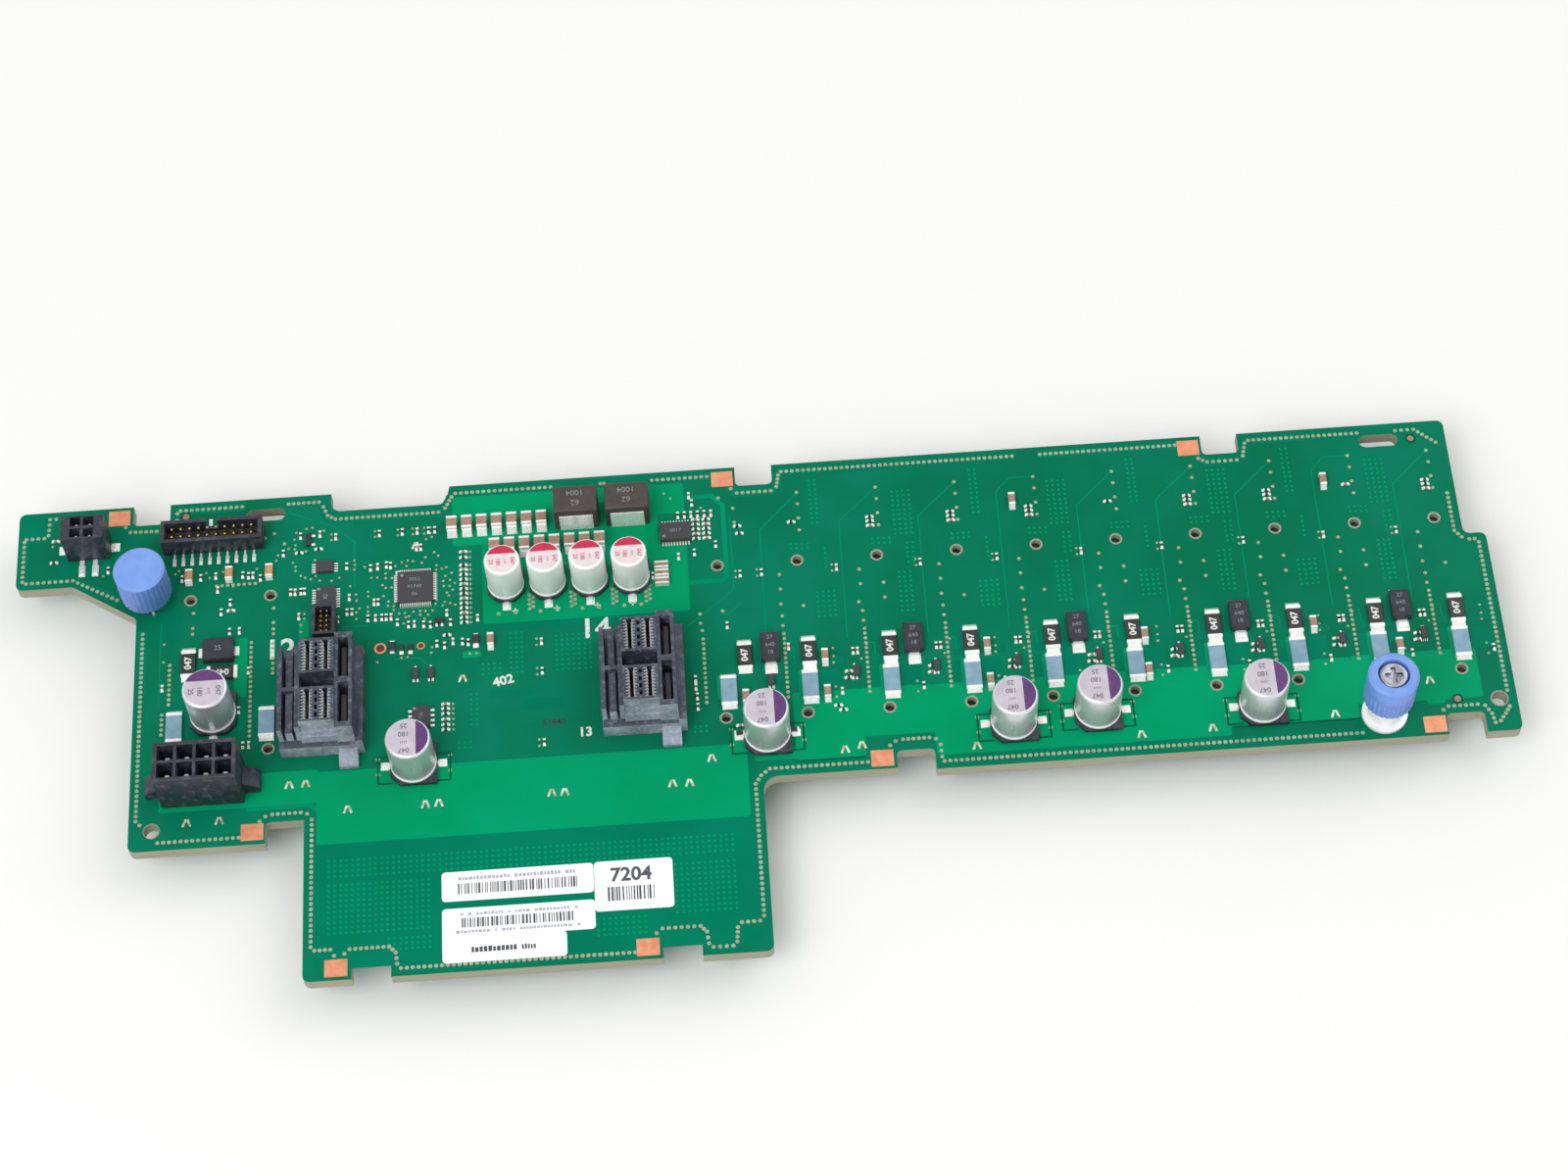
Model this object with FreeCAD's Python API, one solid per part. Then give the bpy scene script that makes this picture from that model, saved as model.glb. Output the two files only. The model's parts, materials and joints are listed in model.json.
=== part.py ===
import FreeCAD, Part
import math
import os

# Drive backplane board, lying on its drive connectors with the cable side up.
# Millimetres. X runs along the board, Y across it to the straight long edge, Z up.
# X and Y are measured from the middle of the board's overall size, Z from the drive connectors' mating faces.

# board blank
BOARD_LENGTH = 331.4
BOARD_DEPTH = 121.8
BOARD_THICK = 3.2
CORNER_R = 1.6
NOTCH_WIDTH = 8.4
NOTCH_DEPTH = 5.1
NOTCH_R = 1.2
BOARD_LEFT = -BOARD_LENGTH / 2
BOARD_RIGHT = BOARD_LENGTH / 2
BOARD_FAR = BOARD_DEPTH / 2
BOARD_NEAR = -BOARD_DEPTH / 2

# steps of the outline
TAB_NEAR = 40.6
TAB_SLANT_X = BOARD_LEFT + 12.9
BODY_LEFT = -138.05
BODY_SLANT_Y = 31.1
BODY_NEAR_LEFT = -27.5
LOBE_LEFT = -99.9
LOBE_RIGHT = 0.0
LOBE_FILLET = 3.4
BODY_NEAR_MIDDLE = -19.4
BODY_NEAR_RIGHT = -20.3
SHOULDER_X = BOARD_RIGHT - 5.0
SHOULDER_Y = 30.3
RECESS_LEFT = -94.4
RECESS_RIGHT = -68.4
RECESS_SLANT = 1.1
RECESS_DEPTH = 4.7
RECESS_R = 2.2
FAR_NOTCHES = (-135.4, 2.2, 109.1)
LOBE_NOTCHES = (-85.3, -19.3)
RIGHT_NOTCH = 153.8
MIDDLE_NOTCH = 33.6

# plain holes and slots of the board
TOOL_HOLE_R = 1.7
TOOL_HOLES = ((-133.0, -22.7), (BOARD_RIGHT - 3.9, -12.3))
SLOT_X = (-109.35, 145.35)
SLOT_Y = 56.5
SLOT_LENGTH = 8.9
SLOT_WIDTH = 3.2

# drive connectors under the board
BAY_PITCH = 18.0
RIGHT_BAYS = 10
LEFT_BAYS = 2
RIGHT_BAY_X = -7.2
LEFT_BAY_X = -125.95
PEG_FAR_Y = 34.95
PEG_NEAR_Y = -4.25
PEG_HOLE_R = 1.05
PEG_FIT = 0.05
PEG_SIDES = 8
PEG_HOLE_SIDES = 12
PEG_SHY = 1.3
DRIVE_HEIGHT = 8.6
DRIVE_LENGTH = 44.6
DRIVE_FLANGE_WIDTH = 6.8
DRIVE_FLANGE_THICK = 3.4
DRIVE_NOSE_LENGTH = 36.4
DRIVE_NOSE_WIDTH = 5.0
DRIVE_NOSE_SHY = 0.6
DRIVE_POST = 3.4
DRIVE_SLOT_WIDTH = 1.9
DRIVE_SLOT_END = 1.5
DRIVE_SLOT_KEY = 1.2
DRIVE_SLOT_DEPTH = 5.6
DRIVE_SPLIT = 15.9
DRIVE_SPLIT_WALL = 1.4
DRIVE_MID_Y = (PEG_FAR_Y + PEG_NEAR_Y) / 2
BOARD_UNDER = DRIVE_HEIGHT
BOARD_TOP = DRIVE_HEIGHT + BOARD_THICK

# bare copper ground pads beside the notches
PAD_LENGTH = 4.9
PAD_DEPTH = 4.0
PAD_THICK = 0.06
PADS = ((BOARD_LEFT + 22.9, 58.1), (-5.0, 57.9), (101.9, 57.9), (-111.1, -24.5),
        (26.2, -16.8), (-92.8, -58.1), (-26.6, -58.1), (146.9, -17.6))

# cable connectors, sizes from the middle of the base
CABLE_X = (-95.7, -24.9)
CABLE_Y = 5.7
CABLE_LENGTH = 18.4
CABLE_DEPTH = 25.0
CABLE_BASE = 3.8
PORT_LEFT = -4.2
PORT_WIDTH = 7.8
PORT_HEIGHT = 11.0
PORT_NEAR = -9.8
PORT_BLOCK = 8.6
PORT_PITCH = 12.2
PORT_WELL_LENGTH = 7.4
PORT_WELL_WIDTH = 2.6
PORT_WELL_PITCH = 4.0
PORT_WELL_DEPTH = 7.4
PORT_STEPS = ((1.3, 6.0), (0.7, 7.2))
GUIDE_WALL = 1.05
GUIDE_HEIGHT = 8.4
GUIDE_INNER_HEIGHT = 9.4
GUIDE_NEAR = -10.4
GUIDE_FAR = 10.4
GUIDE_COLUMN_WIDTH = 1.6
GUIDE_COLUMN_HEIGHT = 7.0
GUIDE_RIB = 1.0
RAIL_WIDTH = 3.9
RAIL_HEIGHT = 10.4
RAIL_WALL = 0.8
RAIL_POCKET_DEPTH = 6.2
RAIL_RIB = 1.4
SHELF_HEIGHT = 5.4
FOOT_WIDTH = 4.2
FOOT_REACH = 3.8
FOOT_HEIGHT = 2.6
FOOT_TIP = 1.2

# eight way power header
POWER_X = -121.85
POWER_NEAR_Y = -17.3
POWER_PITCH = 4.2
POWER_COLUMNS = 4
POWER_ROWS = 2
POWER_WALL = 0.65
POWER_CELL = 3.5
POWER_HEIGHT = 12.8
POWER_FLOOR = 3.2
POWER_EDGE = 2.7
POWER_EAR = 3.6
POWER_EAR_DEPTH = 4.6
POWER_EAR_HIGH = 4.4
POWER_EAR_LOW = 2.2
POWER_PIN = 1.1
POWER_PIN_HEIGHT = 9.4
POWER_TAIL = 1.4
POWER_PIN_FIT = 0.1
POWER_LENGTH = (POWER_COLUMNS - 1) * POWER_PITCH + 2 * POWER_EDGE
POWER_DEPTH = (POWER_ROWS - 1) * POWER_PITCH + 2 * POWER_EDGE - 0.2
POWER_Y = POWER_NEAR_Y + POWER_DEPTH / 2

# four way header on the left tab
AUX_X = BOARD_LEFT + 16.4
AUX_NEAR_Y = 47.4
AUX_PITCH = 3.0
AUX_LENGTH = 9.6
AUX_DEPTH = 6.0
AUX_HEIGHT = 9.9
AUX_CELL = 2.3
AUX_FLOOR = 3.0
AUX_PIN = 0.64
AUX_PIN_HEIGHT = 8.0
AUX_LEAD_WIDTH = 1.1
AUX_LEAD_LENGTH = 3.8
AUX_LEAD_THICK = 0.4
AUX_NAIL = 1.4
AUX_Y = AUX_NEAR_Y + AUX_DEPTH / 2

# twenty way ribbon header
RIBBON_X = -120.85
RIBBON_NEAR_Y = 47.3
RIBBON_PITCH = 2.0
RIBBON_COLUMNS = 10
RIBBON_LENGTH = 22.9
RIBBON_DEPTH = 5.9
RIBBON_HEIGHT = 5.6
RIBBON_WALL = 0.9
RIBBON_FLOOR = 1.5
RIBBON_KEY = 2.5
RIBBON_KEY_Z = 2.2
RIBBON_PIN = 0.5
RIBBON_PIN_HEIGHT = 4.8
RIBBON_LEAD_LENGTH = 2.5
RIBBON_LEAD_THICK = 0.3
RIBBON_Y = RIBBON_NEAR_Y + RIBBON_DEPTH / 2

# ten way service header
SERVICE_X = -95.3
SERVICE_Y = 24.8
SERVICE_LENGTH = 5.2
SERVICE_DEPTH = 7.8
SERVICE_HEIGHT = 5.5
SERVICE_PITCH = 1.27
SERVICE_ROWS = 5
SERVICE_WALL = 0.75
SERVICE_FLOOR = 1.4
SERVICE_PIN = 0.42
SERVICE_PIN_HEIGHT = 4.6

# tall polymer capacitors: centres and the turn of their leads about Z
LARGE_CAPS = ((-120.05, 5.0, 90), (-75.9, -10.7, 0), (1.6, -9.1, 0), (55.5, -10.1, 0), (74.0, -8.8, 0),
              (110.0, -10.1, 0))
LARGE_CAN_R = 5.0
LARGE_BASE = 10.3
LARGE_HEIGHT = 12.6
SMALL_CAP_X = -54.8
SMALL_CAP_Y = 33.1
SMALL_CAP_PITCH = 9.4
SMALL_CAP_COUNT = 4
SMALL_CAPS = [(SMALL_CAP_X + SMALL_CAP_PITCH * index, SMALL_CAP_Y, 90) for index in range(SMALL_CAP_COUNT)]
SMALL_CAN_R = 4.0
SMALL_BASE = 8.3
SMALL_HEIGHT = 12.0
CAP_BASE_THICK = 1.3
CAP_BASE_CHAMFER = 2.2
CAP_GROOVE = 0.9
CAP_GROOVE_DEPTH = 0.4
CAP_TOP_EDGE = 0.45
CAP_LEAD_WIDTH = 1.1
CAP_LEAD_LENGTH = 1.1
CAP_LEAD_THICK = 0.35

# power inductors
INDUCTOR_X = (-38.35, -26.75)
INDUCTOR_Y = 50.75
INDUCTOR_LENGTH = 9.9
INDUCTOR_DEPTH = 6.9
INDUCTOR_HEIGHT = 7.5
INDUCTOR_CHAMFER = 0.35
INDUCTOR_CLIP_WIDTH = 7.6
INDUCTOR_CLIP_THICK = 0.3
INDUCTOR_CLIP_HEIGHT = 5.6

# chip parts: length across the two terminals, width, height, terminal length
BIG_CERAMIC = (3.3, 2.4, 2.5, 0.6)
CERAMIC_ROW_X = -66.8
CERAMIC_ROW_PITCH = 3.4
CERAMIC_ROW_Y = 49.8
CERAMIC_ROW_COUNT = 7
CERAMIC_BACK_X = -57.2
CERAMIC_BACK_Y = 43.2
CERAMIC_BACK_COUNT = 8
WIDE_CERAMIC = (1.7, 3.2, 1.6, 0.45)
WIDE_CERAMICS = ((-19.75, 35.5), (-19.75, 33.4), (-19.75, 31.3))
SMALL_CERAMIC = (3.2, 1.5, 1.5, 0.6)
SMALL_CERAMICS = ((15.4, 9.4), (15.4, 0.2), (51.4, 9.5), (51.4, 0.4), (86.4, 9.4), (86.4, 0.3),
                  (123.9, 9.4), (142.1, 2.4), (60.4, 46.8), (131.2, 46.5), (-2.6, 0.4), (-58.6, 19.2))
TAN_CHIP = (3.3, 1.7, 1.4, 0.5)
TAN_CHIPS = ((-126.4, 41.0), (-117.35, 41.1), (-108.3, 41.1))
RESISTOR = (6.9, 3.3, 0.8, 0.9)
RESISTOR_Y = 10.9
RESISTOR_SHIFT = 1.15
FIRST_RESISTOR_SHIFT = 4.9
LEFT_RESISTORS = ((-125.95, 18.3, 90), (-118.4, 15.6, 0))
FUSE = (7.4, 3.6, 1.0, 0.8)
FUSE_Y = 2.3
FUSE_SHIFT = 0.95
LEFT_FUSES = ((-128.7, 2.3), (-108.3, 2.2))

# diodes and transistors
DIODE_X = (3.4, 35.2, 71.6, 107.7, 143.6)
DIODE_Y = 12.4
DIODE_LENGTH = 4.2
DIODE_DEPTH = 7.0
DIODE_HEIGHT = 1.9
DIODE_TAB_WIDTH = 2.3
DIODE_TAB_LENGTH = 1.9
DIODE_TAB_THICK = 0.5
SUPPRESSOR = (-119.2, 20.9, 6.9, 5.4, 2.3)
TRANSISTORS = ((3.2, 4.3), (22.1, 5.2), (39.8, 5.2), (57.8, 5.2), (75.9, 5.2), (93.9, 5.2), (111.7, 5.2),
               (129.7, 5.2), (147.8, 5.2), (-75.4, 12.0), (-72.0, 12.0))
TRANSISTOR_LENGTH = 1.3
TRANSISTOR_DEPTH = 2.7
TRANSISTOR_HEIGHT = 1.0

# chips: centre, body length, depth, height
CONTROLLER = (-75.25, 34.2, 8.0, 8.0, 1.2)
REGULATOR = (-16.2, 44.2, 7.0, 4.6, 1.4)
REGULATOR_LEAD_COUNT = 10
BUFFER = (-95.4, 33.1, 4.4, 5.2, 1.1)
BUFFER_LEAD_COUNT = 8
MEMORY = (-74.2, 0.7, 3.9, 4.9, 1.6)
MEMORY_LEAD_COUNT = 4
MONITOR = (-95.7, 41.2, 4.0, 2.8, 1.1)
MONITOR_LEAD_COUNT = 4
CHIP_LEAD_REACH = 0.95
CHIP_LEAD_THICK = 0.25
FINE_PITCH = 0.65
COARSE_PITCH = 1.27

# paper labels: left, near edge, length, depth
LABEL_THICK = 0.12
LABELS = ((-70.2, -44.4, 32.6, 7.0), (-70.2, -53.0, 32.7, 6.9), (-70.2, -58.8, 26.5, 5.8),
          (-37.5, -49.1, 16.9, 11.8))

# captive screw, heights from the board's top
SCREW_X = 136.2
SCREW_Y = -14.3
SCREW_HOLE_R = 2.75
SCREW_FLANGE_R = 5.0
SCREW_FLANGE_THICK = 1.1
SCREW_SLEEVE_R = 3.9
SCREW_LIP_R = 4.3
SCREW_LIP_LOW = 8.5
SCREW_SLEEVE_TOP = 9.4
SCREW_BORE_R = 2.05
SCREW_SPRING_WELL_R = 3.4
SCREW_SPRING_SEAT = 2.6
SCREW_KNOB_R = 5.5
SCREW_KNOB_LOW = 7.8
SCREW_KNOB_TOP = 18.0
SCREW_KNOB_BAND_TOP = 13.0
SCREW_KNOB_CHAMFER = 0.6
SCREW_KNOB_RIDGES = 30
SCREW_KNOB_RIDGE_DEPTH = 0.22
SCREW_SKIRT_R = 4.4
SCREW_SKIRT_LIP = 0.6
SCREW_WEB_LOW = 14.6
SCREW_WEB_TOP = 16.0
SCREW_HEAD_R = 3.25
SCREW_HEAD_TOP = 17.6
SCREW_HEAD_GAP = 0.2
SCREW_SHANK_R = 1.95
SCREW_TIP = -1.9
SCREW_RECESS_WIDTH = 1.0
SCREW_RECESS_LENGTH = 3.8
SCREW_RECESS_DEPTH = 1.1
RUN_FIT = 0.1

# sprung locating plunger, heights from the board's top
PLUNGER_X = -135.3
PLUNGER_Y = 36.0
PLUNGER_BARREL_R = 3.1
PLUNGER_HEAD_R = 3.7
PLUNGER_STAND = 3.5
PLUNGER_UNDER = 4.0
PLUNGER_BORE_R = 2.7
PLUNGER_BORE_TOP = 1.0
PLUNGER_LIP = 0.6
PLUNGER_NOSE_R = 1.75
PLUNGER_GUIDE_R = 2.0
PLUNGER_STEM_R = 1.5
PLUNGER_COLLAR_R = 2.6
PLUNGER_COLLAR = 1.0
PLUNGER_NOSE = 3.4
PLUNGER_NOSE_STEP = 0.4
PLUNGER_NOSE_CHAMFER = 0.8
PLUNGER_KNOB_R = 5.75
PLUNGER_KNOB_HEIGHT = 9.9
PLUNGER_KNOB_RIDGES = 32
PLUNGER_KNOB_RIDGE_DEPTH = 0.2
PLUNGER_KNOB_RIM = 0.7
PLUNGER_PIN_SOCKET = 6.0

# coil springs
SPRING_TURNS = 5
SPRING_STEPS = 10
SPRING_SIDES = 4
SCREW_SPRING_R = 2.85
SCREW_SPRING_WIRE = 0.6
PLUNGER_SPRING_R = 2.25
PLUNGER_SPRING_WIRE = 0.45


def box(left, near, low, length, depth, height):
    return Part.makeBox(length, depth, height, FreeCAD.Vector(left, near, low))


def middle_box(x, y, low, length, depth, height):
    return box(x - length / 2, y - depth / 2, low, length, depth, height)


def cylinder(x, y, low, radius, height):
    return Part.makeCylinder(radius, height, FreeCAD.Vector(x, y, low))


def flat_sided(x, y, low, radius, sides, height):
    """Upright post or hole with flat sides, its corners on a circle."""
    points = []
    for index in range(sides):
        angle = 2 * math.pi * index / sides
        points.append(FreeCAD.Vector(x + radius * math.cos(angle), y + radius * math.sin(angle), low))
    return Part.Face(Part.makePolygon(points + [points[0]])).extrude(FreeCAD.Vector(0, 0, height))


def rounded_wire(corners):
    """Closed wire through corners given as x, y and corner radius."""
    count = len(corners)
    starts = []
    ends = []
    mids = []
    for index in range(count):
        x, y, radius = corners[index]
        before = corners[index - 1]
        after = corners[(index + 1) % count]
        corner = FreeCAD.Vector(x, y, 0)
        back = FreeCAD.Vector(before[0] - x, before[1] - y, 0)
        ahead = FreeCAD.Vector(after[0] - x, after[1] - y, 0)
        back.normalize()
        ahead.normalize()
        half = back.getAngle(ahead) / 2
        reach = radius / math.tan(half)
        starts.append(corner + back * reach)
        ends.append(corner + ahead * reach)
        bisector = back + ahead
        bisector.normalize()
        mids.append(corner + bisector * (radius / math.sin(half) - radius))
    edges = []
    for index in range(count):
        if corners[index][2] > 0:
            edges.append(Part.Arc(starts[index], mids[index], ends[index]).toShape())
        following = (index + 1) % count
        edges.append(Part.makeLine(ends[index], starts[following]))
    return Part.Wire(edges)


def plate(corners, low, thick):
    face = Part.Face(rounded_wire(corners))
    face.translate(FreeCAD.Vector(0, 0, low))
    return face.extrude(FreeCAD.Vector(0, 0, thick))


def far_notch(x):
    """Corners of a notch in the far edge, met from left to right: sharp mouth, rounded floor."""
    left = x - NOTCH_WIDTH / 2
    right = x + NOTCH_WIDTH / 2
    floor = BOARD_FAR - NOTCH_DEPTH
    return [(left, BOARD_FAR, 0), (left, floor, NOTCH_R), (right, floor, NOTCH_R), (right, BOARD_FAR, 0)]


def near_notch(x, edge_right, edge_left):
    """Corners of a notch in a near edge, met from right to left: sharp mouth, rounded floor."""
    left = x - NOTCH_WIDTH / 2
    right = x + NOTCH_WIDTH / 2
    floor = edge_right + NOTCH_DEPTH
    return [(right, edge_right, 0), (right, floor, NOTCH_R), (left, floor, NOTCH_R), (left, edge_left, 0)]


def board_corners():
    corners = [(BOARD_LEFT, BOARD_FAR, CORNER_R)]
    corners += far_notch(FAR_NOTCHES[0])
    recess_floor = BOARD_FAR - RECESS_DEPTH
    corners.append((RECESS_LEFT, BOARD_FAR, 0))
    corners.append((RECESS_LEFT, recess_floor, RECESS_R))
    corners.append((RECESS_RIGHT, recess_floor, RECESS_R))
    corners.append((RECESS_RIGHT + RECESS_SLANT, BOARD_FAR, 0))
    corners += far_notch(FAR_NOTCHES[1])
    corners += far_notch(FAR_NOTCHES[2])
    corners.append((SHOULDER_X, BOARD_FAR, CORNER_R))
    corners.append((SHOULDER_X, SHOULDER_Y, CORNER_R))
    corners.append((BOARD_RIGHT, SHOULDER_Y, CORNER_R))
    corners.append((BOARD_RIGHT, BODY_NEAR_RIGHT, CORNER_R))
    corners += near_notch(RIGHT_NOTCH, BODY_NEAR_RIGHT, BODY_NEAR_RIGHT)
    corners += near_notch(MIDDLE_NOTCH, BODY_NEAR_RIGHT, BODY_NEAR_MIDDLE)
    corners.append((LOBE_RIGHT, BODY_NEAR_MIDDLE, LOBE_FILLET))
    corners.append((LOBE_RIGHT, BOARD_NEAR, CORNER_R))
    for x in reversed(LOBE_NOTCHES):
        corners += near_notch(x, BOARD_NEAR, BOARD_NEAR)
    notch_floor = BODY_NEAR_LEFT + NOTCH_DEPTH
    corners.append((LOBE_LEFT, BOARD_NEAR, CORNER_R))
    corners.append((LOBE_LEFT, notch_floor, 0))
    corners.append((LOBE_LEFT - NOTCH_WIDTH, notch_floor, NOTCH_R))
    corners.append((LOBE_LEFT - NOTCH_WIDTH, BODY_NEAR_LEFT, 0))
    corners.append((BODY_LEFT, BODY_NEAR_LEFT, CORNER_R))
    corners.append((BODY_LEFT, BODY_SLANT_Y, CORNER_R))
    corners.append((TAB_SLANT_X, TAB_NEAR, CORNER_R))
    corners.append((BOARD_LEFT, TAB_NEAR, CORNER_R))
    return corners


def bay_centres():
    """X of each drive connector, left bays first."""
    left = [LEFT_BAY_X + BAY_PITCH * bay for bay in range(LEFT_BAYS)]
    right = [RIGHT_BAY_X + BAY_PITCH * bay for bay in range(RIGHT_BAYS)]
    return left + right


def slot_solid(x, y, low, height):
    half = SLOT_WIDTH / 2
    reach = SLOT_LENGTH / 2
    corners = [(x - reach, y - half, half * 0.999), (x + reach, y - half, half * 0.999),
               (x + reach, y + half, half * 0.999), (x - reach, y + half, half * 0.999)]
    return plate(corners, low, height)


def power_pin_places():
    places = []
    for column in range(POWER_COLUMNS):
        for row in range(POWER_ROWS):
            x = POWER_X + (column - (POWER_COLUMNS - 1) / 2) * POWER_PITCH
            y = POWER_Y + (row - (POWER_ROWS - 1) / 2) * POWER_PITCH
            places.append((x, y))
    return places


def circuit_board():
    board = plate(board_corners(), BOARD_UNDER, BOARD_THICK)
    low = BOARD_UNDER - 1
    height = BOARD_THICK + 2
    cuts = []
    peg_corner_r = PEG_HOLE_R / math.cos(math.pi / PEG_HOLE_SIDES)
    for x in bay_centres():
        for y in (PEG_FAR_Y, PEG_NEAR_Y):
            cuts.append(flat_sided(x, y, low, peg_corner_r, PEG_HOLE_SIDES, height))
    for x, y in TOOL_HOLES:
        cuts.append(cylinder(x, y, low, TOOL_HOLE_R, height))
    for x in SLOT_X:
        cuts.append(slot_solid(x, SLOT_Y, low, height))
    for x, y in power_pin_places():
        side = POWER_PIN + 2 * POWER_PIN_FIT
        cuts.append(middle_box(x, y, low, side, side, height))
    cuts.append(cylinder(SCREW_X, SCREW_Y, low, SCREW_HOLE_R, height))
    cuts.append(cylinder(PLUNGER_X, PLUNGER_Y, low, PLUNGER_BARREL_R, height))
    return board.cut(cuts)


def ground_pads():
    return Part.makeCompound([middle_box(x, y, BOARD_TOP, PAD_LENGTH, PAD_DEPTH, PAD_THICK) for x, y in PADS])


def peg(x, y):
    """Moulded locating peg with flats, its corners just inside the hole."""
    return flat_sided(x, y, BOARD_UNDER, PEG_HOLE_R - PEG_FIT, PEG_SIDES, BOARD_THICK - PEG_SHY)


def drive_connector(x):
    """Drive receptacle hanging from the board: flange, keyed nose, end posts and locating pegs."""
    near = DRIVE_MID_Y - DRIVE_LENGTH / 2
    nose_near = DRIVE_MID_Y - DRIVE_NOSE_LENGTH / 2
    flange_low = BOARD_UNDER - DRIVE_FLANGE_THICK
    body = middle_box(x, DRIVE_MID_Y, flange_low, DRIVE_FLANGE_WIDTH, DRIVE_LENGTH, DRIVE_FLANGE_THICK)
    nose = middle_box(x, DRIVE_MID_Y, DRIVE_NOSE_SHY, DRIVE_NOSE_WIDTH, DRIVE_NOSE_LENGTH,
                      flange_low - DRIVE_NOSE_SHY)
    posts = []
    for y in (near, near + DRIVE_LENGTH - DRIVE_POST):
        post = box(x - DRIVE_NOSE_WIDTH / 2, y, 0, DRIVE_NOSE_WIDTH, DRIVE_POST, flange_low)
        edges = [edge for edge in post.Edges if edge.BoundBox.ZMax < 0.01]
        posts.append(post.makeChamfer(DRIVE_NOSE_SHY, edges))
    pegs = []
    for y in (PEG_NEAR_Y, PEG_FAR_Y):
        pegs.append(peg(x, y))
    slots = []
    long_slot = DRIVE_NOSE_LENGTH - DRIVE_SPLIT - DRIVE_SPLIT_WALL - 2 * DRIVE_SLOT_END
    first = nose_near + DRIVE_SLOT_END
    for y, length in ((first, long_slot), (first + long_slot + DRIVE_SPLIT_WALL, DRIVE_SPLIT)):
        slots.append(box(x - DRIVE_SLOT_WIDTH / 2, y, 0, DRIVE_SLOT_WIDTH, length, DRIVE_SLOT_DEPTH))
        slots.append(box(x - DRIVE_SLOT_WIDTH / 2, y, 0, DRIVE_SLOT_WIDTH / 2 + DRIVE_SLOT_KEY + 0.4,
                         DRIVE_SLOT_KEY, DRIVE_SLOT_DEPTH))
    return body.fuse([nose] + posts + pegs).cut(slots).removeSplitter()


def cable_connector(x):
    """Two port cable receptacle: wells for the cable's cards, guide walls, latch rail and foot."""
    half_length = CABLE_LENGTH / 2
    half_depth = CABLE_DEPTH / 2
    left = x - half_length
    near = CABLE_Y - half_depth
    shell = [box(left, near, BOARD_TOP, CABLE_LENGTH, CABLE_DEPTH, CABLE_BASE)]
    port_left = x + PORT_LEFT
    wells = []
    for port in range(2):
        port_near = CABLE_Y + PORT_NEAR + port * PORT_PITCH
        shell.append(box(port_left, port_near, BOARD_TOP, PORT_WIDTH, PORT_BLOCK, PORT_HEIGHT))
        for side in (-1, 1):
            well_x = port_left + PORT_WIDTH / 2 + side * PORT_WELL_PITCH / 2
            well_y = port_near + PORT_BLOCK / 2
            well_low = BOARD_TOP + PORT_HEIGHT - PORT_WELL_DEPTH
            wells.append(middle_box(well_x, well_y, well_low, PORT_WELL_WIDTH, PORT_WELL_LENGTH,
                                    PORT_WELL_DEPTH + 1))
    for reach, height in PORT_STEPS:
        shell.append(box(port_left, CABLE_Y + PORT_NEAR - reach, BOARD_TOP, PORT_WIDTH, reach, height))
    guide_near = CABLE_Y + GUIDE_NEAR
    guide_length = GUIDE_FAR - GUIDE_NEAR
    inner_left = port_left - GUIDE_WALL
    shell.append(box(left, guide_near, BOARD_TOP, GUIDE_WALL, guide_length, GUIDE_HEIGHT))
    shell.append(box(inner_left, guide_near, BOARD_TOP, GUIDE_WALL, guide_length, GUIDE_INNER_HEIGHT))
    channel_left = left + GUIDE_WALL
    channel_width = inner_left - channel_left
    column_x = channel_left + channel_width / 2
    shell.append(middle_box(column_x, CABLE_Y, BOARD_TOP, GUIDE_COLUMN_WIDTH, guide_length,
                            GUIDE_COLUMN_HEIGHT))
    shell.append(middle_box(column_x, CABLE_Y, BOARD_TOP, channel_width, GUIDE_RIB, GUIDE_HEIGHT))
    rail_left = port_left + PORT_WIDTH
    rail_near = near + GUIDE_WALL
    rail_length = CABLE_DEPTH - GUIDE_WALL
    shell.append(box(rail_left, rail_near, BOARD_TOP, RAIL_WIDTH, rail_length, RAIL_HEIGHT))
    pocket_length = (rail_length - 3 * RAIL_RIB) / 2
    for pocket in range(2):
        pocket_near = rail_near + RAIL_RIB + pocket * (pocket_length + RAIL_RIB)
        wells.append(box(rail_left + RAIL_WALL, pocket_near, BOARD_TOP + RAIL_HEIGHT - RAIL_POCKET_DEPTH,
                         RAIL_WIDTH - 2 * RAIL_WALL, pocket_length, RAIL_POCKET_DEPTH + 1))
    shelf_left = rail_left + RAIL_WIDTH
    shelf_width = left + CABLE_LENGTH - shelf_left
    shell.append(box(shelf_left, near, BOARD_TOP, shelf_width, rail_length, SHELF_HEIGHT))
    shell.append(foot_wedge(rail_left, near))
    return shell[0].fuse(shell[1:]).cut(wells).removeSplitter()


def foot_wedge(left, near):
    """Sloping foot that stands out of the near side, under the latch rail."""
    points = [FreeCAD.Vector(left, near, BOARD_TOP), FreeCAD.Vector(left, near - FOOT_REACH, BOARD_TOP),
              FreeCAD.Vector(left, near - FOOT_REACH, BOARD_TOP + FOOT_TIP),
              FreeCAD.Vector(left, near, BOARD_TOP + FOOT_HEIGHT)]
    face = Part.Face(Part.makePolygon(points + [points[0]]))
    return face.extrude(FreeCAD.Vector(FOOT_WIDTH, 0, 0))


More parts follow.
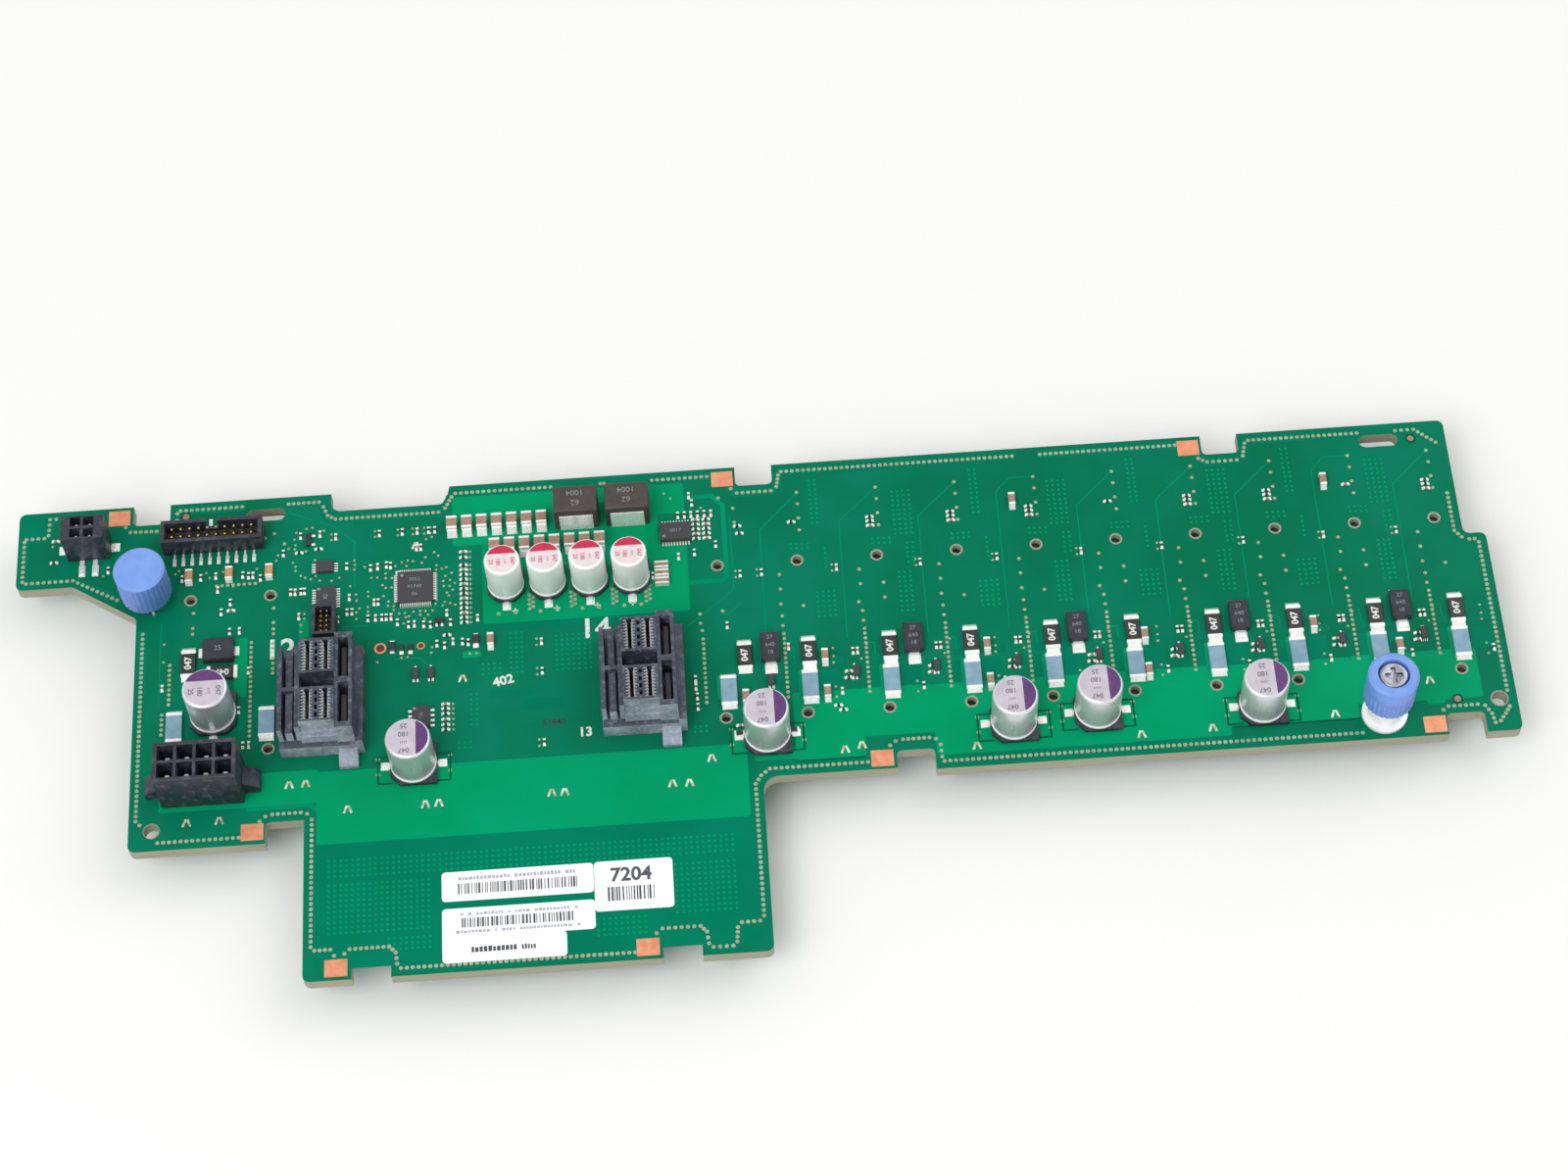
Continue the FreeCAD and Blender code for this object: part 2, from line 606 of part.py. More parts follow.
def ear_wedge(x, side):
    """Board lock ear of the power header, thicker at the housing."""
    root = x + side * POWER_LENGTH / 2
    tip = root + side * POWER_EAR
    near = POWER_Y - POWER_EAR_DEPTH / 2
    points = [FreeCAD.Vector(root, near, BOARD_TOP), FreeCAD.Vector(tip, near, BOARD_TOP),
              FreeCAD.Vector(tip, near, BOARD_TOP + POWER_EAR_LOW),
              FreeCAD.Vector(root, near, BOARD_TOP + POWER_EAR_HIGH)]
    face = Part.Face(Part.makePolygon(points + [points[0]]))
    return face.extrude(FreeCAD.Vector(0, POWER_EAR_DEPTH, 0))


def power_header_housing():
    body = middle_box(POWER_X, POWER_Y, BOARD_TOP, POWER_LENGTH, POWER_DEPTH, POWER_HEIGHT)
    body = body.fuse([ear_wedge(POWER_X, -1), ear_wedge(POWER_X, 1)])
    cuts = []
    for x, y in power_pin_places():
        cuts.append(middle_box(x, y, BOARD_TOP + POWER_FLOOR, POWER_CELL, POWER_CELL, POWER_HEIGHT))
        cuts.append(middle_box(x, y, BOARD_TOP - 1, POWER_PIN, POWER_PIN, POWER_FLOOR + 2))
    return body.cut(cuts).removeSplitter()


def power_header_pins():
    low = BOARD_UNDER - POWER_TAIL
    height = BOARD_TOP + POWER_PIN_HEIGHT - low
    pins = [middle_box(x, y, low, POWER_PIN, POWER_PIN, height) for x, y in power_pin_places()]
    return Part.makeCompound(pins)


def aux_pin_places():
    half = AUX_PITCH / 2
    return [(AUX_X + sx * half, AUX_Y + sy * half) for sx in (-1, 1) for sy in (-1, 1)]


def aux_header_housing():
    body = middle_box(AUX_X, AUX_Y, BOARD_TOP, AUX_LENGTH, AUX_DEPTH, AUX_HEIGHT)
    cuts = []
    for x, y in aux_pin_places():
        cuts.append(middle_box(x, y, BOARD_TOP + AUX_FLOOR, AUX_CELL, AUX_CELL, AUX_HEIGHT))
        cuts.append(middle_box(x, y, BOARD_TOP - 1, AUX_PIN, AUX_PIN, AUX_FLOOR + 2))
    return body.cut(cuts).removeSplitter()


def aux_header_pins():
    pieces = []
    for x, y in aux_pin_places():
        pieces.append(middle_box(x, y, BOARD_TOP, AUX_PIN, AUX_PIN, AUX_PIN_HEIGHT))
    for side in (-1, 1):
        x = AUX_X + side * AUX_PITCH / 2
        pieces.append(box(x - AUX_LEAD_WIDTH / 2, AUX_NEAR_Y - AUX_LEAD_LENGTH, BOARD_TOP, AUX_LEAD_WIDTH,
                          AUX_LEAD_LENGTH, AUX_LEAD_THICK))
        nail_x = AUX_X + side * (AUX_LENGTH + AUX_NAIL) / 2
        pieces.append(middle_box(nail_x, AUX_Y, BOARD_TOP, AUX_NAIL, AUX_NAIL, AUX_LEAD_THICK))
    return Part.makeCompound(pieces)


def ribbon_pin_places():
    places = []
    for column in range(RIBBON_COLUMNS):
        x = RIBBON_X + (column - (RIBBON_COLUMNS - 1) / 2) * RIBBON_PITCH
        for side in (-1, 1):
            places.append((x, RIBBON_Y + side * RIBBON_PITCH / 2, side))
    return places


def ribbon_header_shroud():
    body = middle_box(RIBBON_X, RIBBON_Y, BOARD_TOP, RIBBON_LENGTH, RIBBON_DEPTH, RIBBON_HEIGHT)
    cuts = [middle_box(RIBBON_X, RIBBON_Y, BOARD_TOP + RIBBON_FLOOR, RIBBON_LENGTH - 2 * RIBBON_WALL,
                       RIBBON_DEPTH - 2 * RIBBON_WALL, RIBBON_HEIGHT)]
    cuts.append(box(RIBBON_X - RIBBON_KEY / 2, RIBBON_Y, BOARD_TOP + RIBBON_KEY_Z, RIBBON_KEY, RIBBON_DEPTH,
                    RIBBON_HEIGHT))
    return body.cut(cuts).removeSplitter()


def ribbon_header_pins():
    """Posts standing on the shroud's floor and the feet outside both long walls."""
    pieces = []
    for x, y, side in ribbon_pin_places():
        post = BOARD_TOP + RIBBON_FLOOR
        pieces.append(middle_box(x, y, post, RIBBON_PIN, RIBBON_PIN, RIBBON_PIN_HEIGHT - RIBBON_FLOOR))
        wall = RIBBON_Y + side * RIBBON_DEPTH / 2
        near = wall if side > 0 else wall - RIBBON_LEAD_LENGTH
        pieces.append(box(x - RIBBON_PIN / 2, near, BOARD_TOP, RIBBON_PIN, RIBBON_LEAD_LENGTH,
                          RIBBON_LEAD_THICK))
    return Part.makeCompound(pieces)


def service_header_shroud():
    body = middle_box(SERVICE_X, SERVICE_Y, BOARD_TOP, SERVICE_LENGTH, SERVICE_DEPTH, SERVICE_HEIGHT)
    well = middle_box(SERVICE_X, SERVICE_Y, BOARD_TOP + SERVICE_FLOOR, SERVICE_LENGTH - 2 * SERVICE_WALL,
                      SERVICE_DEPTH - 2 * SERVICE_WALL, SERVICE_HEIGHT)
    return body.cut(well)


def service_header_pins():
    pieces = []
    for row in range(SERVICE_ROWS):
        y = SERVICE_Y + (row - (SERVICE_ROWS - 1) / 2) * SERVICE_PITCH
        for side in (-1, 1):
            x = SERVICE_X + side * SERVICE_PITCH / 2
            pieces.append(middle_box(x, y, BOARD_TOP + SERVICE_FLOOR, SERVICE_PIN, SERVICE_PIN,
                                     SERVICE_PIN_HEIGHT - SERVICE_FLOOR))
    return Part.makeCompound(pieces)


def can(x, y, radius, height):
    """Rolled aluminium can: necked in over the base's seal, with a broken top edge."""
    low = BOARD_TOP + CAP_BASE_THICK
    top = BOARD_TOP + height
    profile = [(0, low), (radius - CAP_GROOVE_DEPTH, low), (radius, low + CAP_GROOVE),
               (radius, top - CAP_TOP_EDGE), (radius - CAP_TOP_EDGE, top), (0, top)]
    points = [FreeCAD.Vector(r, 0, z) for r, z in profile]
    face = Part.Face(Part.makePolygon(points + [points[0]]))
    solid = face.revolve(FreeCAD.Vector(0, 0, 0), FreeCAD.Vector(0, 0, 1), 360)
    solid.translate(FreeCAD.Vector(x, y, 0))
    return solid


def cap_base(x, y, turn, side):
    """Moulded base with two corners cut off at its positive lead, on the left before it is turned."""
    half = side / 2
    cut = half - CAP_BASE_CHAMFER
    outline = [(-cut, -half), (half, -half), (half, half), (-cut, half), (-half, cut), (-half, -cut)]
    points = [FreeCAD.Vector(px, py, BOARD_TOP) for px, py in outline]
    solid = Part.Face(Part.makePolygon(points + [points[0]])).extrude(FreeCAD.Vector(0, 0, CAP_BASE_THICK))
    solid.rotate(FreeCAD.Vector(0, 0, 0), FreeCAD.Vector(0, 0, 1), turn)
    solid.translate(FreeCAD.Vector(x, y, 0))
    return solid


def cap_leads(x, y, turn, side):
    leads = []
    for way in (-1, 1):
        middle = way * (side + CAP_LEAD_LENGTH) / 2
        lead = middle_box(middle, 0, BOARD_TOP, CAP_LEAD_LENGTH, CAP_LEAD_WIDTH, CAP_LEAD_THICK)
        lead.rotate(FreeCAD.Vector(0, 0, 0), FreeCAD.Vector(0, 0, 1), turn)
        lead.translate(FreeCAD.Vector(x, y, 0))
        leads.append(lead)
    return leads


def capacitor_cans():
    cans = [can(x, y, LARGE_CAN_R, LARGE_HEIGHT) for x, y, turn in LARGE_CAPS]
    cans += [can(x, y, SMALL_CAN_R, SMALL_HEIGHT) for x, y, turn in SMALL_CAPS]
    return Part.makeCompound(cans)


def capacitor_bases():
    bases = [cap_base(x, y, turn, LARGE_BASE) for x, y, turn in LARGE_CAPS]
    bases += [cap_base(x, y, turn, SMALL_BASE) for x, y, turn in SMALL_CAPS]
    return Part.makeCompound(bases)


def capacitor_leads():
    pieces = []
    for x, y, turn in LARGE_CAPS:
        pieces += cap_leads(x, y, turn, LARGE_BASE)
    for x, y, turn in SMALL_CAPS:
        pieces += cap_leads(x, y, turn, SMALL_BASE)
    return Part.makeCompound(pieces)


def inductor_core(x):
    core = middle_box(x, INDUCTOR_Y, BOARD_TOP, INDUCTOR_LENGTH, INDUCTOR_DEPTH, INDUCTOR_HEIGHT)
    top = BOARD_TOP + INDUCTOR_HEIGHT
    edges = [edge for edge in core.Edges if edge.BoundBox.ZMin > top - 0.01]
    return core.makeChamfer(INDUCTOR_CHAMFER, edges)


def inductor_clips():
    near = INDUCTOR_Y - INDUCTOR_DEPTH / 2 - INDUCTOR_CLIP_THICK
    far = INDUCTOR_Y + INDUCTOR_DEPTH / 2
    pieces = []
    for x in INDUCTOR_X:
        left = x - INDUCTOR_CLIP_WIDTH / 2
        for y in (near, far):
            pieces.append(box(left, y, BOARD_TOP, INDUCTOR_CLIP_WIDTH, INDUCTOR_CLIP_THICK,
                              INDUCTOR_CLIP_HEIGHT))
    return Part.makeCompound(pieces)


def chip_body(x, y, size, turn):
    """Middle of a two terminal chip part, its terminals on the Y ends when the turn is 90."""
    across, width, height, terminal = size
    length = across - 2 * terminal
    if turn == 90:
        return middle_box(x, y, BOARD_TOP, width, length, height)
    return middle_box(x, y, BOARD_TOP, length, width, height)


def chip_ends(x, y, size, turn):
    across, width, height, terminal = size
    shift = (across - terminal) / 2
    pieces = []
    for side in (-1, 1):
        if turn == 90:
            pieces.append(middle_box(x, y + side * shift, BOARD_TOP, width, terminal, height))
        else:
            pieces.append(middle_box(x + side * shift, y, BOARD_TOP, terminal, width, height))
    return pieces


def ceramic_places():
    places = []
    for index in range(CERAMIC_ROW_COUNT):
        places.append((CERAMIC_ROW_X + index * CERAMIC_ROW_PITCH, CERAMIC_ROW_Y, BIG_CERAMIC, 90))
    for index in range(CERAMIC_BACK_COUNT):
        places.append((CERAMIC_BACK_X + index * CERAMIC_ROW_PITCH, CERAMIC_BACK_Y, BIG_CERAMIC, 90))
    for x, y in WIDE_CERAMICS:
        places.append((x, y, WIDE_CERAMIC, 90))
    for x, y in SMALL_CERAMICS:
        places.append((x, y, SMALL_CERAMIC, 90))
    return places


def tan_chip_places():
    return [(x, y, TAN_CHIP, 90) for x, y in TAN_CHIPS]


def resistor_places():
    places = [(x, y, RESISTOR, turn) for x, y, turn in LEFT_RESISTORS]
    for bay in range(RIGHT_BAYS):
        shift = RESISTOR_SHIFT if bay else FIRST_RESISTOR_SHIFT
        places.append((RIGHT_BAY_X + bay * BAY_PITCH + shift, RESISTOR_Y, RESISTOR, 90))
    return places


def fuse_places():
    places = [(x, y, FUSE, 90) for x, y in LEFT_FUSES]
    for bay in range(RIGHT_BAYS):
        places.append((RIGHT_BAY_X + bay * BAY_PITCH + FUSE_SHIFT, FUSE_Y, FUSE, 90))
    return places


def chip_group(places):
    return Part.makeCompound([chip_body(x, y, size, turn) for x, y, size, turn in places])


def chip_terminals():
    pieces = []
    for x, y, size, turn in ceramic_places() + tan_chip_places() + resistor_places() + fuse_places():
        pieces += chip_ends(x, y, size, turn)
    return Part.makeCompound(pieces)


def diode_bodies():
    pieces = [middle_box(x, DIODE_Y, BOARD_TOP, DIODE_LENGTH, DIODE_DEPTH, DIODE_HEIGHT) for x in DIODE_X]
    x, y, length, depth, height = SUPPRESSOR
    pieces.append(middle_box(x, y, BOARD_TOP, length, depth, height))
    return Part.makeCompound(pieces)


def diode_tabs():
    near = DIODE_Y - DIODE_DEPTH / 2 - DIODE_TAB_LENGTH
    pieces = []
    for x in DIODE_X:
        pieces.append(box(x - DIODE_TAB_WIDTH / 2, near, BOARD_TOP, DIODE_TAB_WIDTH, DIODE_TAB_LENGTH,
                          DIODE_TAB_THICK))
    x, y, length, depth, height = SUPPRESSOR
    for side in (-1, 1):
        middle = x + side * (length + CAP_LEAD_LENGTH) / 2
        pieces.append(middle_box(middle, y, BOARD_TOP, CAP_LEAD_LENGTH, DIODE_TAB_WIDTH, DIODE_TAB_THICK))
    return Part.makeCompound(pieces)


def transistor_bodies():
    size = (TRANSISTOR_LENGTH, TRANSISTOR_DEPTH, TRANSISTOR_HEIGHT)
    return Part.makeCompound([middle_box(x, y, BOARD_TOP, *size) for x, y in TRANSISTORS])


def chip(values):
    x, y, length, depth, height = values
    return middle_box(x, y, BOARD_TOP, length, depth, height)


def side_leads(values, count, pitch):
    """Leads out of the left and right faces."""
    x, y, length, depth, height = values
    pieces = []
    for index in range(count):
        lead_y = y + (index - (count - 1) / 2) * pitch
        for side in (-1, 1):
            lead_x = x + side * (length + CHIP_LEAD_REACH) / 2
            pieces.append(middle_box(lead_x, lead_y, BOARD_TOP, CHIP_LEAD_REACH, pitch / 2, CHIP_LEAD_THICK))
    return pieces


def end_leads(values, count, pitch):
    """Leads out of the near and far faces."""
    x, y, length, depth, height = values
    pieces = []
    for index in range(count):
        lead_x = x + (index - (count - 1) / 2) * pitch
        for side in (-1, 1):
            lead_y = y + side * (depth + CHIP_LEAD_REACH) / 2
            pieces.append(middle_box(lead_x, lead_y, BOARD_TOP, pitch / 2, CHIP_LEAD_REACH, CHIP_LEAD_THICK))
    return pieces


def chip_leads():
    pieces = end_leads(REGULATOR, REGULATOR_LEAD_COUNT, FINE_PITCH)
    pieces += side_leads(BUFFER, BUFFER_LEAD_COUNT, FINE_PITCH)
    pieces += side_leads(MEMORY, MEMORY_LEAD_COUNT, COARSE_PITCH)
    pieces += side_leads(MONITOR, MONITOR_LEAD_COUNT, FINE_PITCH)
    return Part.makeCompound(pieces)


def small_chips():
    return Part.makeCompound([chip(BUFFER), chip(MEMORY), chip(MONITOR)])


def label(values):
    left, near, length, depth = values
    return box(left, near, BOARD_TOP, length, depth, LABEL_THICK)


def ridged_ring(x, y, low, radius, depth, ridges, height):
    """Cylinder with fine upright ridges, for a finger grip."""
    points = []
    for index in range(2 * ridges):
        angle = math.pi * index / ridges
        reach = radius if index % 2 else radius - depth
        points.append(FreeCAD.Vector(x + reach * math.cos(angle), y + reach * math.sin(angle), low))
    return Part.Face(Part.makePolygon(points + [points[0]])).extrude(FreeCAD.Vector(0, 0, height))


def wire_section(x, y, z, angle, radius, wire):
    """Corners of the wire's section, in the upright plane at an angle round the coil's axis."""
    corners = []
    for index in range(SPRING_SIDES):
        turn = 2 * math.pi * index / SPRING_SIDES
        reach = radius + wire / 2 * math.cos(turn)
        corners.append(FreeCAD.Vector(x + reach * math.cos(angle), y + reach * math.sin(angle),
                                      z + wire / 2 * math.sin(turn)))
    return corners


def coil(x, y, low, length, radius, wire):
    """Coil spring whose wire runs between its two seats, faceted along its length."""
    steps = SPRING_TURNS * SPRING_STEPS
    rise = length - wire
    rings = []
    for step in range(steps + 1):
        angle = 2 * math.pi * step / SPRING_STEPS
        rings.append(wire_section(x, y, low + wire / 2 + rise * step / steps, angle, radius, wire))
    faces = [Part.Face(Part.makePolygon(ring + [ring[0]])) for ring in (rings[0], rings[-1])]
    for ring, following in zip(rings, rings[1:]):
        for index in range(SPRING_SIDES):
            after = (index + 1) % SPRING_SIDES
            for corners in ((ring[index], ring[after], following[index]),
                            (ring[after], following[after], following[index])):
                faces.append(Part.Face(Part.makePolygon([*corners, corners[0]])))
    return Part.makeSolid(Part.makeShell(faces))


def screw_ferrule():
    low = BOARD_UNDER
    body = cylinder(SCREW_X, SCREW_Y, low, SCREW_HOLE_R, BOARD_THICK)
    flange = cylinder(SCREW_X, SCREW_Y, BOARD_TOP, SCREW_FLANGE_R, SCREW_FLANGE_THICK)
    sleeve = cylinder(SCREW_X, SCREW_Y, BOARD_TOP, SCREW_SLEEVE_R, SCREW_SLEEVE_TOP)
    lip = cylinder(SCREW_X, SCREW_Y, BOARD_TOP + SCREW_LIP_LOW, SCREW_LIP_R, SCREW_SLEEVE_TOP - SCREW_LIP_LOW)
    bore = cylinder(SCREW_X, SCREW_Y, low - 1, SCREW_BORE_R, BOARD_THICK + SCREW_SLEEVE_TOP + 2)
    well = cylinder(SCREW_X, SCREW_Y, BOARD_TOP + SCREW_SPRING_SEAT, SCREW_SPRING_WELL_R, SCREW_SLEEVE_TOP)
    return body.fuse([flange, sleeve, lip]).cut([bore, well]).removeSplitter()


def screw_knob():
    low = BOARD_TOP + SCREW_KNOB_LOW
    band_top = BOARD_TOP + SCREW_KNOB_BAND_TOP
    top = BOARD_TOP + SCREW_KNOB_TOP
    band = ridged_ring(SCREW_X, SCREW_Y, low, SCREW_KNOB_R, SCREW_KNOB_RIDGE_DEPTH, SCREW_KNOB_RIDGES,
                       band_top - low)
    shoulder = cylinder(SCREW_X, SCREW_Y, band_top, SCREW_KNOB_R, top - band_top)
    rim = [edge for edge in shoulder.Edges if edge.BoundBox.ZMin > top - 0.01]
    shoulder = shoulder.makeChamfer(SCREW_KNOB_CHAMFER, rim)
    web_low = BOARD_TOP + SCREW_WEB_LOW
    web_top = BOARD_TOP + SCREW_WEB_TOP
    lip_top = low + SCREW_SKIRT_LIP
    cuts = [cylinder(SCREW_X, SCREW_Y, low - 1, SCREW_SLEEVE_R + RUN_FIT, SCREW_SKIRT_LIP + 2)]
    cuts.append(cylinder(SCREW_X, SCREW_Y, lip_top, SCREW_SKIRT_R, web_low - lip_top))
    cuts.append(cylinder(SCREW_X, SCREW_Y, low, SCREW_SHANK_R, top - low))
    cuts.append(cylinder(SCREW_X, SCREW_Y, web_top, SCREW_HEAD_R + SCREW_HEAD_GAP, top))
    return band.fuse(shoulder).cut(cuts).removeSplitter()


def captive_screw():
    low = BOARD_TOP + SCREW_TIP
    web_top = BOARD_TOP + SCREW_WEB_TOP
    head_top = BOARD_TOP + SCREW_HEAD_TOP
    shank = cylinder(SCREW_X, SCREW_Y, low, SCREW_SHANK_R, web_top - low)
    tip = [edge for edge in shank.Edges if edge.BoundBox.ZMax < low + 0.01]
    shank = shank.makeChamfer(0.4, tip)
    head = cylinder(SCREW_X, SCREW_Y, web_top, SCREW_HEAD_R, head_top - web_top)
    rim = [edge for edge in head.Edges if edge.BoundBox.ZMin > head_top - 0.01]
    head = head.makeChamfer(0.4, rim)
    floor = head_top - SCREW_RECESS_DEPTH
    cross = [middle_box(SCREW_X, SCREW_Y, floor, SCREW_RECESS_LENGTH, SCREW_RECESS_WIDTH, 2),
             middle_box(SCREW_X, SCREW_Y, floor, SCREW_RECESS_WIDTH, SCREW_RECESS_LENGTH, 2)]
    return shank.fuse(head).cut(cross).removeSplitter()


def screw_spring():
    low = BOARD_TOP + SCREW_SPRING_SEAT
    return coil(SCREW_X, SCREW_Y, low, SCREW_WEB_LOW - SCREW_SPRING_SEAT, SCREW_SPRING_R, SCREW_SPRING_WIRE)


def plunger_barrel():
    low = BOARD_UNDER - PLUNGER_UNDER
    barrel = cylinder(PLUNGER_X, PLUNGER_Y, low, PLUNGER_BARREL_R, PLUNGER_UNDER + BOARD_THICK)
    head = cylinder(PLUNGER_X, PLUNGER_Y, BOARD_TOP, PLUNGER_HEAD_R, PLUNGER_STAND)
    bore_low = low + PLUNGER_LIP
    bore = cylinder(PLUNGER_X, PLUNGER_Y, bore_low, PLUNGER_BORE_R, BOARD_TOP + PLUNGER_BORE_TOP - bore_low)
    mouth = cylinder(PLUNGER_X, PLUNGER_Y, low - 1, PLUNGER_GUIDE_R + RUN_FIT, PLUNGER_LIP + 2)
    stem_hole = cylinder(PLUNGER_X, PLUNGER_Y, BOARD_TOP, PLUNGER_STEM_R + RUN_FIT, PLUNGER_STAND + 1)
    return barrel.fuse(head).cut([bore, mouth, stem_hole]).removeSplitter()


def plunger_pin():
    """Chamfered nose, a wider guide in the barrel's mouth, the spring's collar and the knob's stem."""
    barrel_low = BOARD_UNDER - PLUNGER_UNDER
    low = barrel_low - PLUNGER_NOSE
    guide_low = barrel_low - PLUNGER_NOSE_STEP
    collar_low = barrel_low + PLUNGER_LIP
    top = BOARD_TOP + PLUNGER_STAND + PLUNGER_PIN_SOCKET
    nose = cylinder(PLUNGER_X, PLUNGER_Y, low, PLUNGER_NOSE_R, guide_low - low)
    tip = [edge for edge in nose.Edges if edge.BoundBox.ZMax < low + 0.01]
    nose = nose.makeChamfer(PLUNGER_NOSE_CHAMFER, tip)
    guide = cylinder(PLUNGER_X, PLUNGER_Y, guide_low, PLUNGER_GUIDE_R, collar_low - guide_low)
    collar = cylinder(PLUNGER_X, PLUNGER_Y, collar_low, PLUNGER_COLLAR_R, PLUNGER_COLLAR)
    stem_low = collar_low + PLUNGER_COLLAR
    stem = cylinder(PLUNGER_X, PLUNGER_Y, stem_low, PLUNGER_STEM_R, top - stem_low)
    return nose.fuse([guide, collar, stem]).removeSplitter()


def plunger_knob():
    low = BOARD_TOP + PLUNGER_STAND
    top = low + PLUNGER_KNOB_HEIGHT
    grip = ridged_ring(PLUNGER_X, PLUNGER_Y, low, PLUNGER_KNOB_R, PLUNGER_KNOB_RIDGE_DEPTH,
                       PLUNGER_KNOB_RIDGES, PLUNGER_KNOB_HEIGHT - PLUNGER_KNOB_RIM)
    cap_low = top - PLUNGER_KNOB_RIM
    cap = cylinder(PLUNGER_X, PLUNGER_Y, cap_low, PLUNGER_KNOB_R, PLUNGER_KNOB_RIM)
    rim = [edge for edge in cap.Edges if edge.BoundBox.ZMin > top - 0.01]
    cap = cap.makeChamfer(PLUNGER_KNOB_RIM * 0.7, rim)
    socket = cylinder(PLUNGER_X, PLUNGER_Y, low - 1, PLUNGER_STEM_R, PLUNGER_PIN_SOCKET + 1)
    return grip.fuse(cap).cut(socket).removeSplitter()


def plunger_spring():
    low = BOARD_UNDER - PLUNGER_UNDER + PLUNGER_LIP + PLUNGER_COLLAR
    length = BOARD_TOP + PLUNGER_BORE_TOP - low
    return coil(PLUNGER_X, PLUNGER_Y, low, length, PLUNGER_SPRING_R, PLUNGER_SPRING_WIRE)


def build():
    nodes = {"circuit_board": circuit_board(), "ground_pads": ground_pads()}
    for number, x in enumerate(bay_centres(), 1):
        nodes["drive_connector_%02d" % number] = drive_connector(x)
    for number, x in enumerate(CABLE_X, 1):
        nodes["cable_connector_%d" % number] = cable_connector(x)
    nodes["power_header_housing"] = power_header_housing()
    nodes["power_header_pins"] = power_header_pins()
    nodes["aux_header_housing"] = aux_header_housing()
    nodes["aux_header_pins"] = aux_header_pins()
    nodes["ribbon_header_shroud"] = ribbon_header_shroud()
    nodes["ribbon_header_pins"] = ribbon_header_pins()
    nodes["service_header_shroud"] = service_header_shroud()
    nodes["service_header_pins"] = service_header_pins()
    nodes["capacitor_cans"] = capacitor_cans()
    nodes["capacitor_bases"] = capacitor_bases()
    nodes["capacitor_leads"] = capacitor_leads()
    for number, x in enumerate(INDUCTOR_X, 1):
        nodes["power_inductor_%d" % number] = inductor_core(x)
    nodes["inductor_clips"] = inductor_clips()
    nodes["ceramic_capacitors"] = chip_group(ceramic_places())
    nodes["tan_chip_parts"] = chip_group(tan_chip_places())
    nodes["sense_resistors"] = chip_group(resistor_places())
    nodes["surface_fuses"] = chip_group(fuse_places())
    nodes["chip_terminals"] = chip_terminals()
    nodes["diode_bodies"] = diode_bodies()
    nodes["diode_tabs"] = diode_tabs()
    nodes["transistor_bodies"] = transistor_bodies()
    nodes["controller_chip"] = chip(CONTROLLER)
    nodes["regulator_chip"] = chip(REGULATOR)
    nodes["small_chips"] = small_chips()
    nodes["chip_leads"] = chip_leads()
    nodes["paper_labels"] = Part.makeCompound([label(values) for values in LABELS])
    nodes["screw_ferrule"] = screw_ferrule()
    nodes["screw_knob"] = screw_knob()
    nodes["captive_screw"] = captive_screw()
    nodes["screw_spring"] = screw_spring()
    nodes["plunger_barrel"] = plunger_barrel()
    nodes["plunger_pin"] = plunger_pin()
    nodes["plunger_knob"] = plunger_knob()
    nodes["plunger_spring"] = plunger_spring()
    return nodes


os.makedirs("parts", exist_ok=True)
for name, shape in build().items():
    shape.exportStep("parts/" + name + ".step")
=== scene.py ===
import json
import logging
import math
import random
from collections.abc import Callable, Sequence
from dataclasses import dataclass
from enum import Enum

import bpy
from mathutils import Matrix, Vector


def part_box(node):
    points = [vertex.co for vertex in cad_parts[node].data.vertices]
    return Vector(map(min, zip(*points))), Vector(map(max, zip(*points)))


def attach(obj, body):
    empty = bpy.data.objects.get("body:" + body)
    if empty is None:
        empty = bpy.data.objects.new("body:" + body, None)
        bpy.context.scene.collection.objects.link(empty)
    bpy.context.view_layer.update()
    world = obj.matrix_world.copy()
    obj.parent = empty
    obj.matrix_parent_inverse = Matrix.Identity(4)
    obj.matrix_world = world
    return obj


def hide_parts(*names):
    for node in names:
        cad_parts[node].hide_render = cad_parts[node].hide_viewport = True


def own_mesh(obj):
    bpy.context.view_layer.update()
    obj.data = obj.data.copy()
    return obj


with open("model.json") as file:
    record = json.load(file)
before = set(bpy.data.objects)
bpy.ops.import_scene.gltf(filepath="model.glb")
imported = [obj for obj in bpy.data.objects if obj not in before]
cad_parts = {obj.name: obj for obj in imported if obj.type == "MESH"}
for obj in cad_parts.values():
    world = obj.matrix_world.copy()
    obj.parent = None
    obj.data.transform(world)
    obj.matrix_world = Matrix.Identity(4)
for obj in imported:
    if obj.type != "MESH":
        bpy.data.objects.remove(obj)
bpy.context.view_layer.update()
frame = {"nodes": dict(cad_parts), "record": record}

LOG = logging.getLogger("drive_backplane")
MM = 0.001
Piece = bpy.types.Object
Socket = bpy.types.NodeSocket
Test = Callable[[bpy.types.MeshPolygon], bool]
Point = tuple[float, float]
Spot = tuple[float, float, float]
Place = tuple[float, float, float, float]
Rect = tuple[float, float, float, float]
ORIGIN: Spot = (0.0, 0.0, 0.0)
TALL_CANS: list[Point] = [(-75.9, -10.7), (1.6, -9.1), (55.5, -10.1), (74.0, -8.8), (110.0, -10.1)]
DIODES_X = (3.4, 35.2, 71.6, 107.7, 143.6)
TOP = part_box("circuit_board")[1].z / MM
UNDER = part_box("circuit_board")[0].z / MM


class Body(Enum):
    """The rigid bodies that pieces ride on."""

    BOARD = "board"
    LIFT = "screw_lift"
    SCREW = "screw"
    PLUNGER = "plunger"


class Mark(Enum):
    """Where a can's colour mark lies, as a turn about Z in degrees."""

    RIGHT = 0.0
    FAR = 90.0


# Numbers, colours and nodes


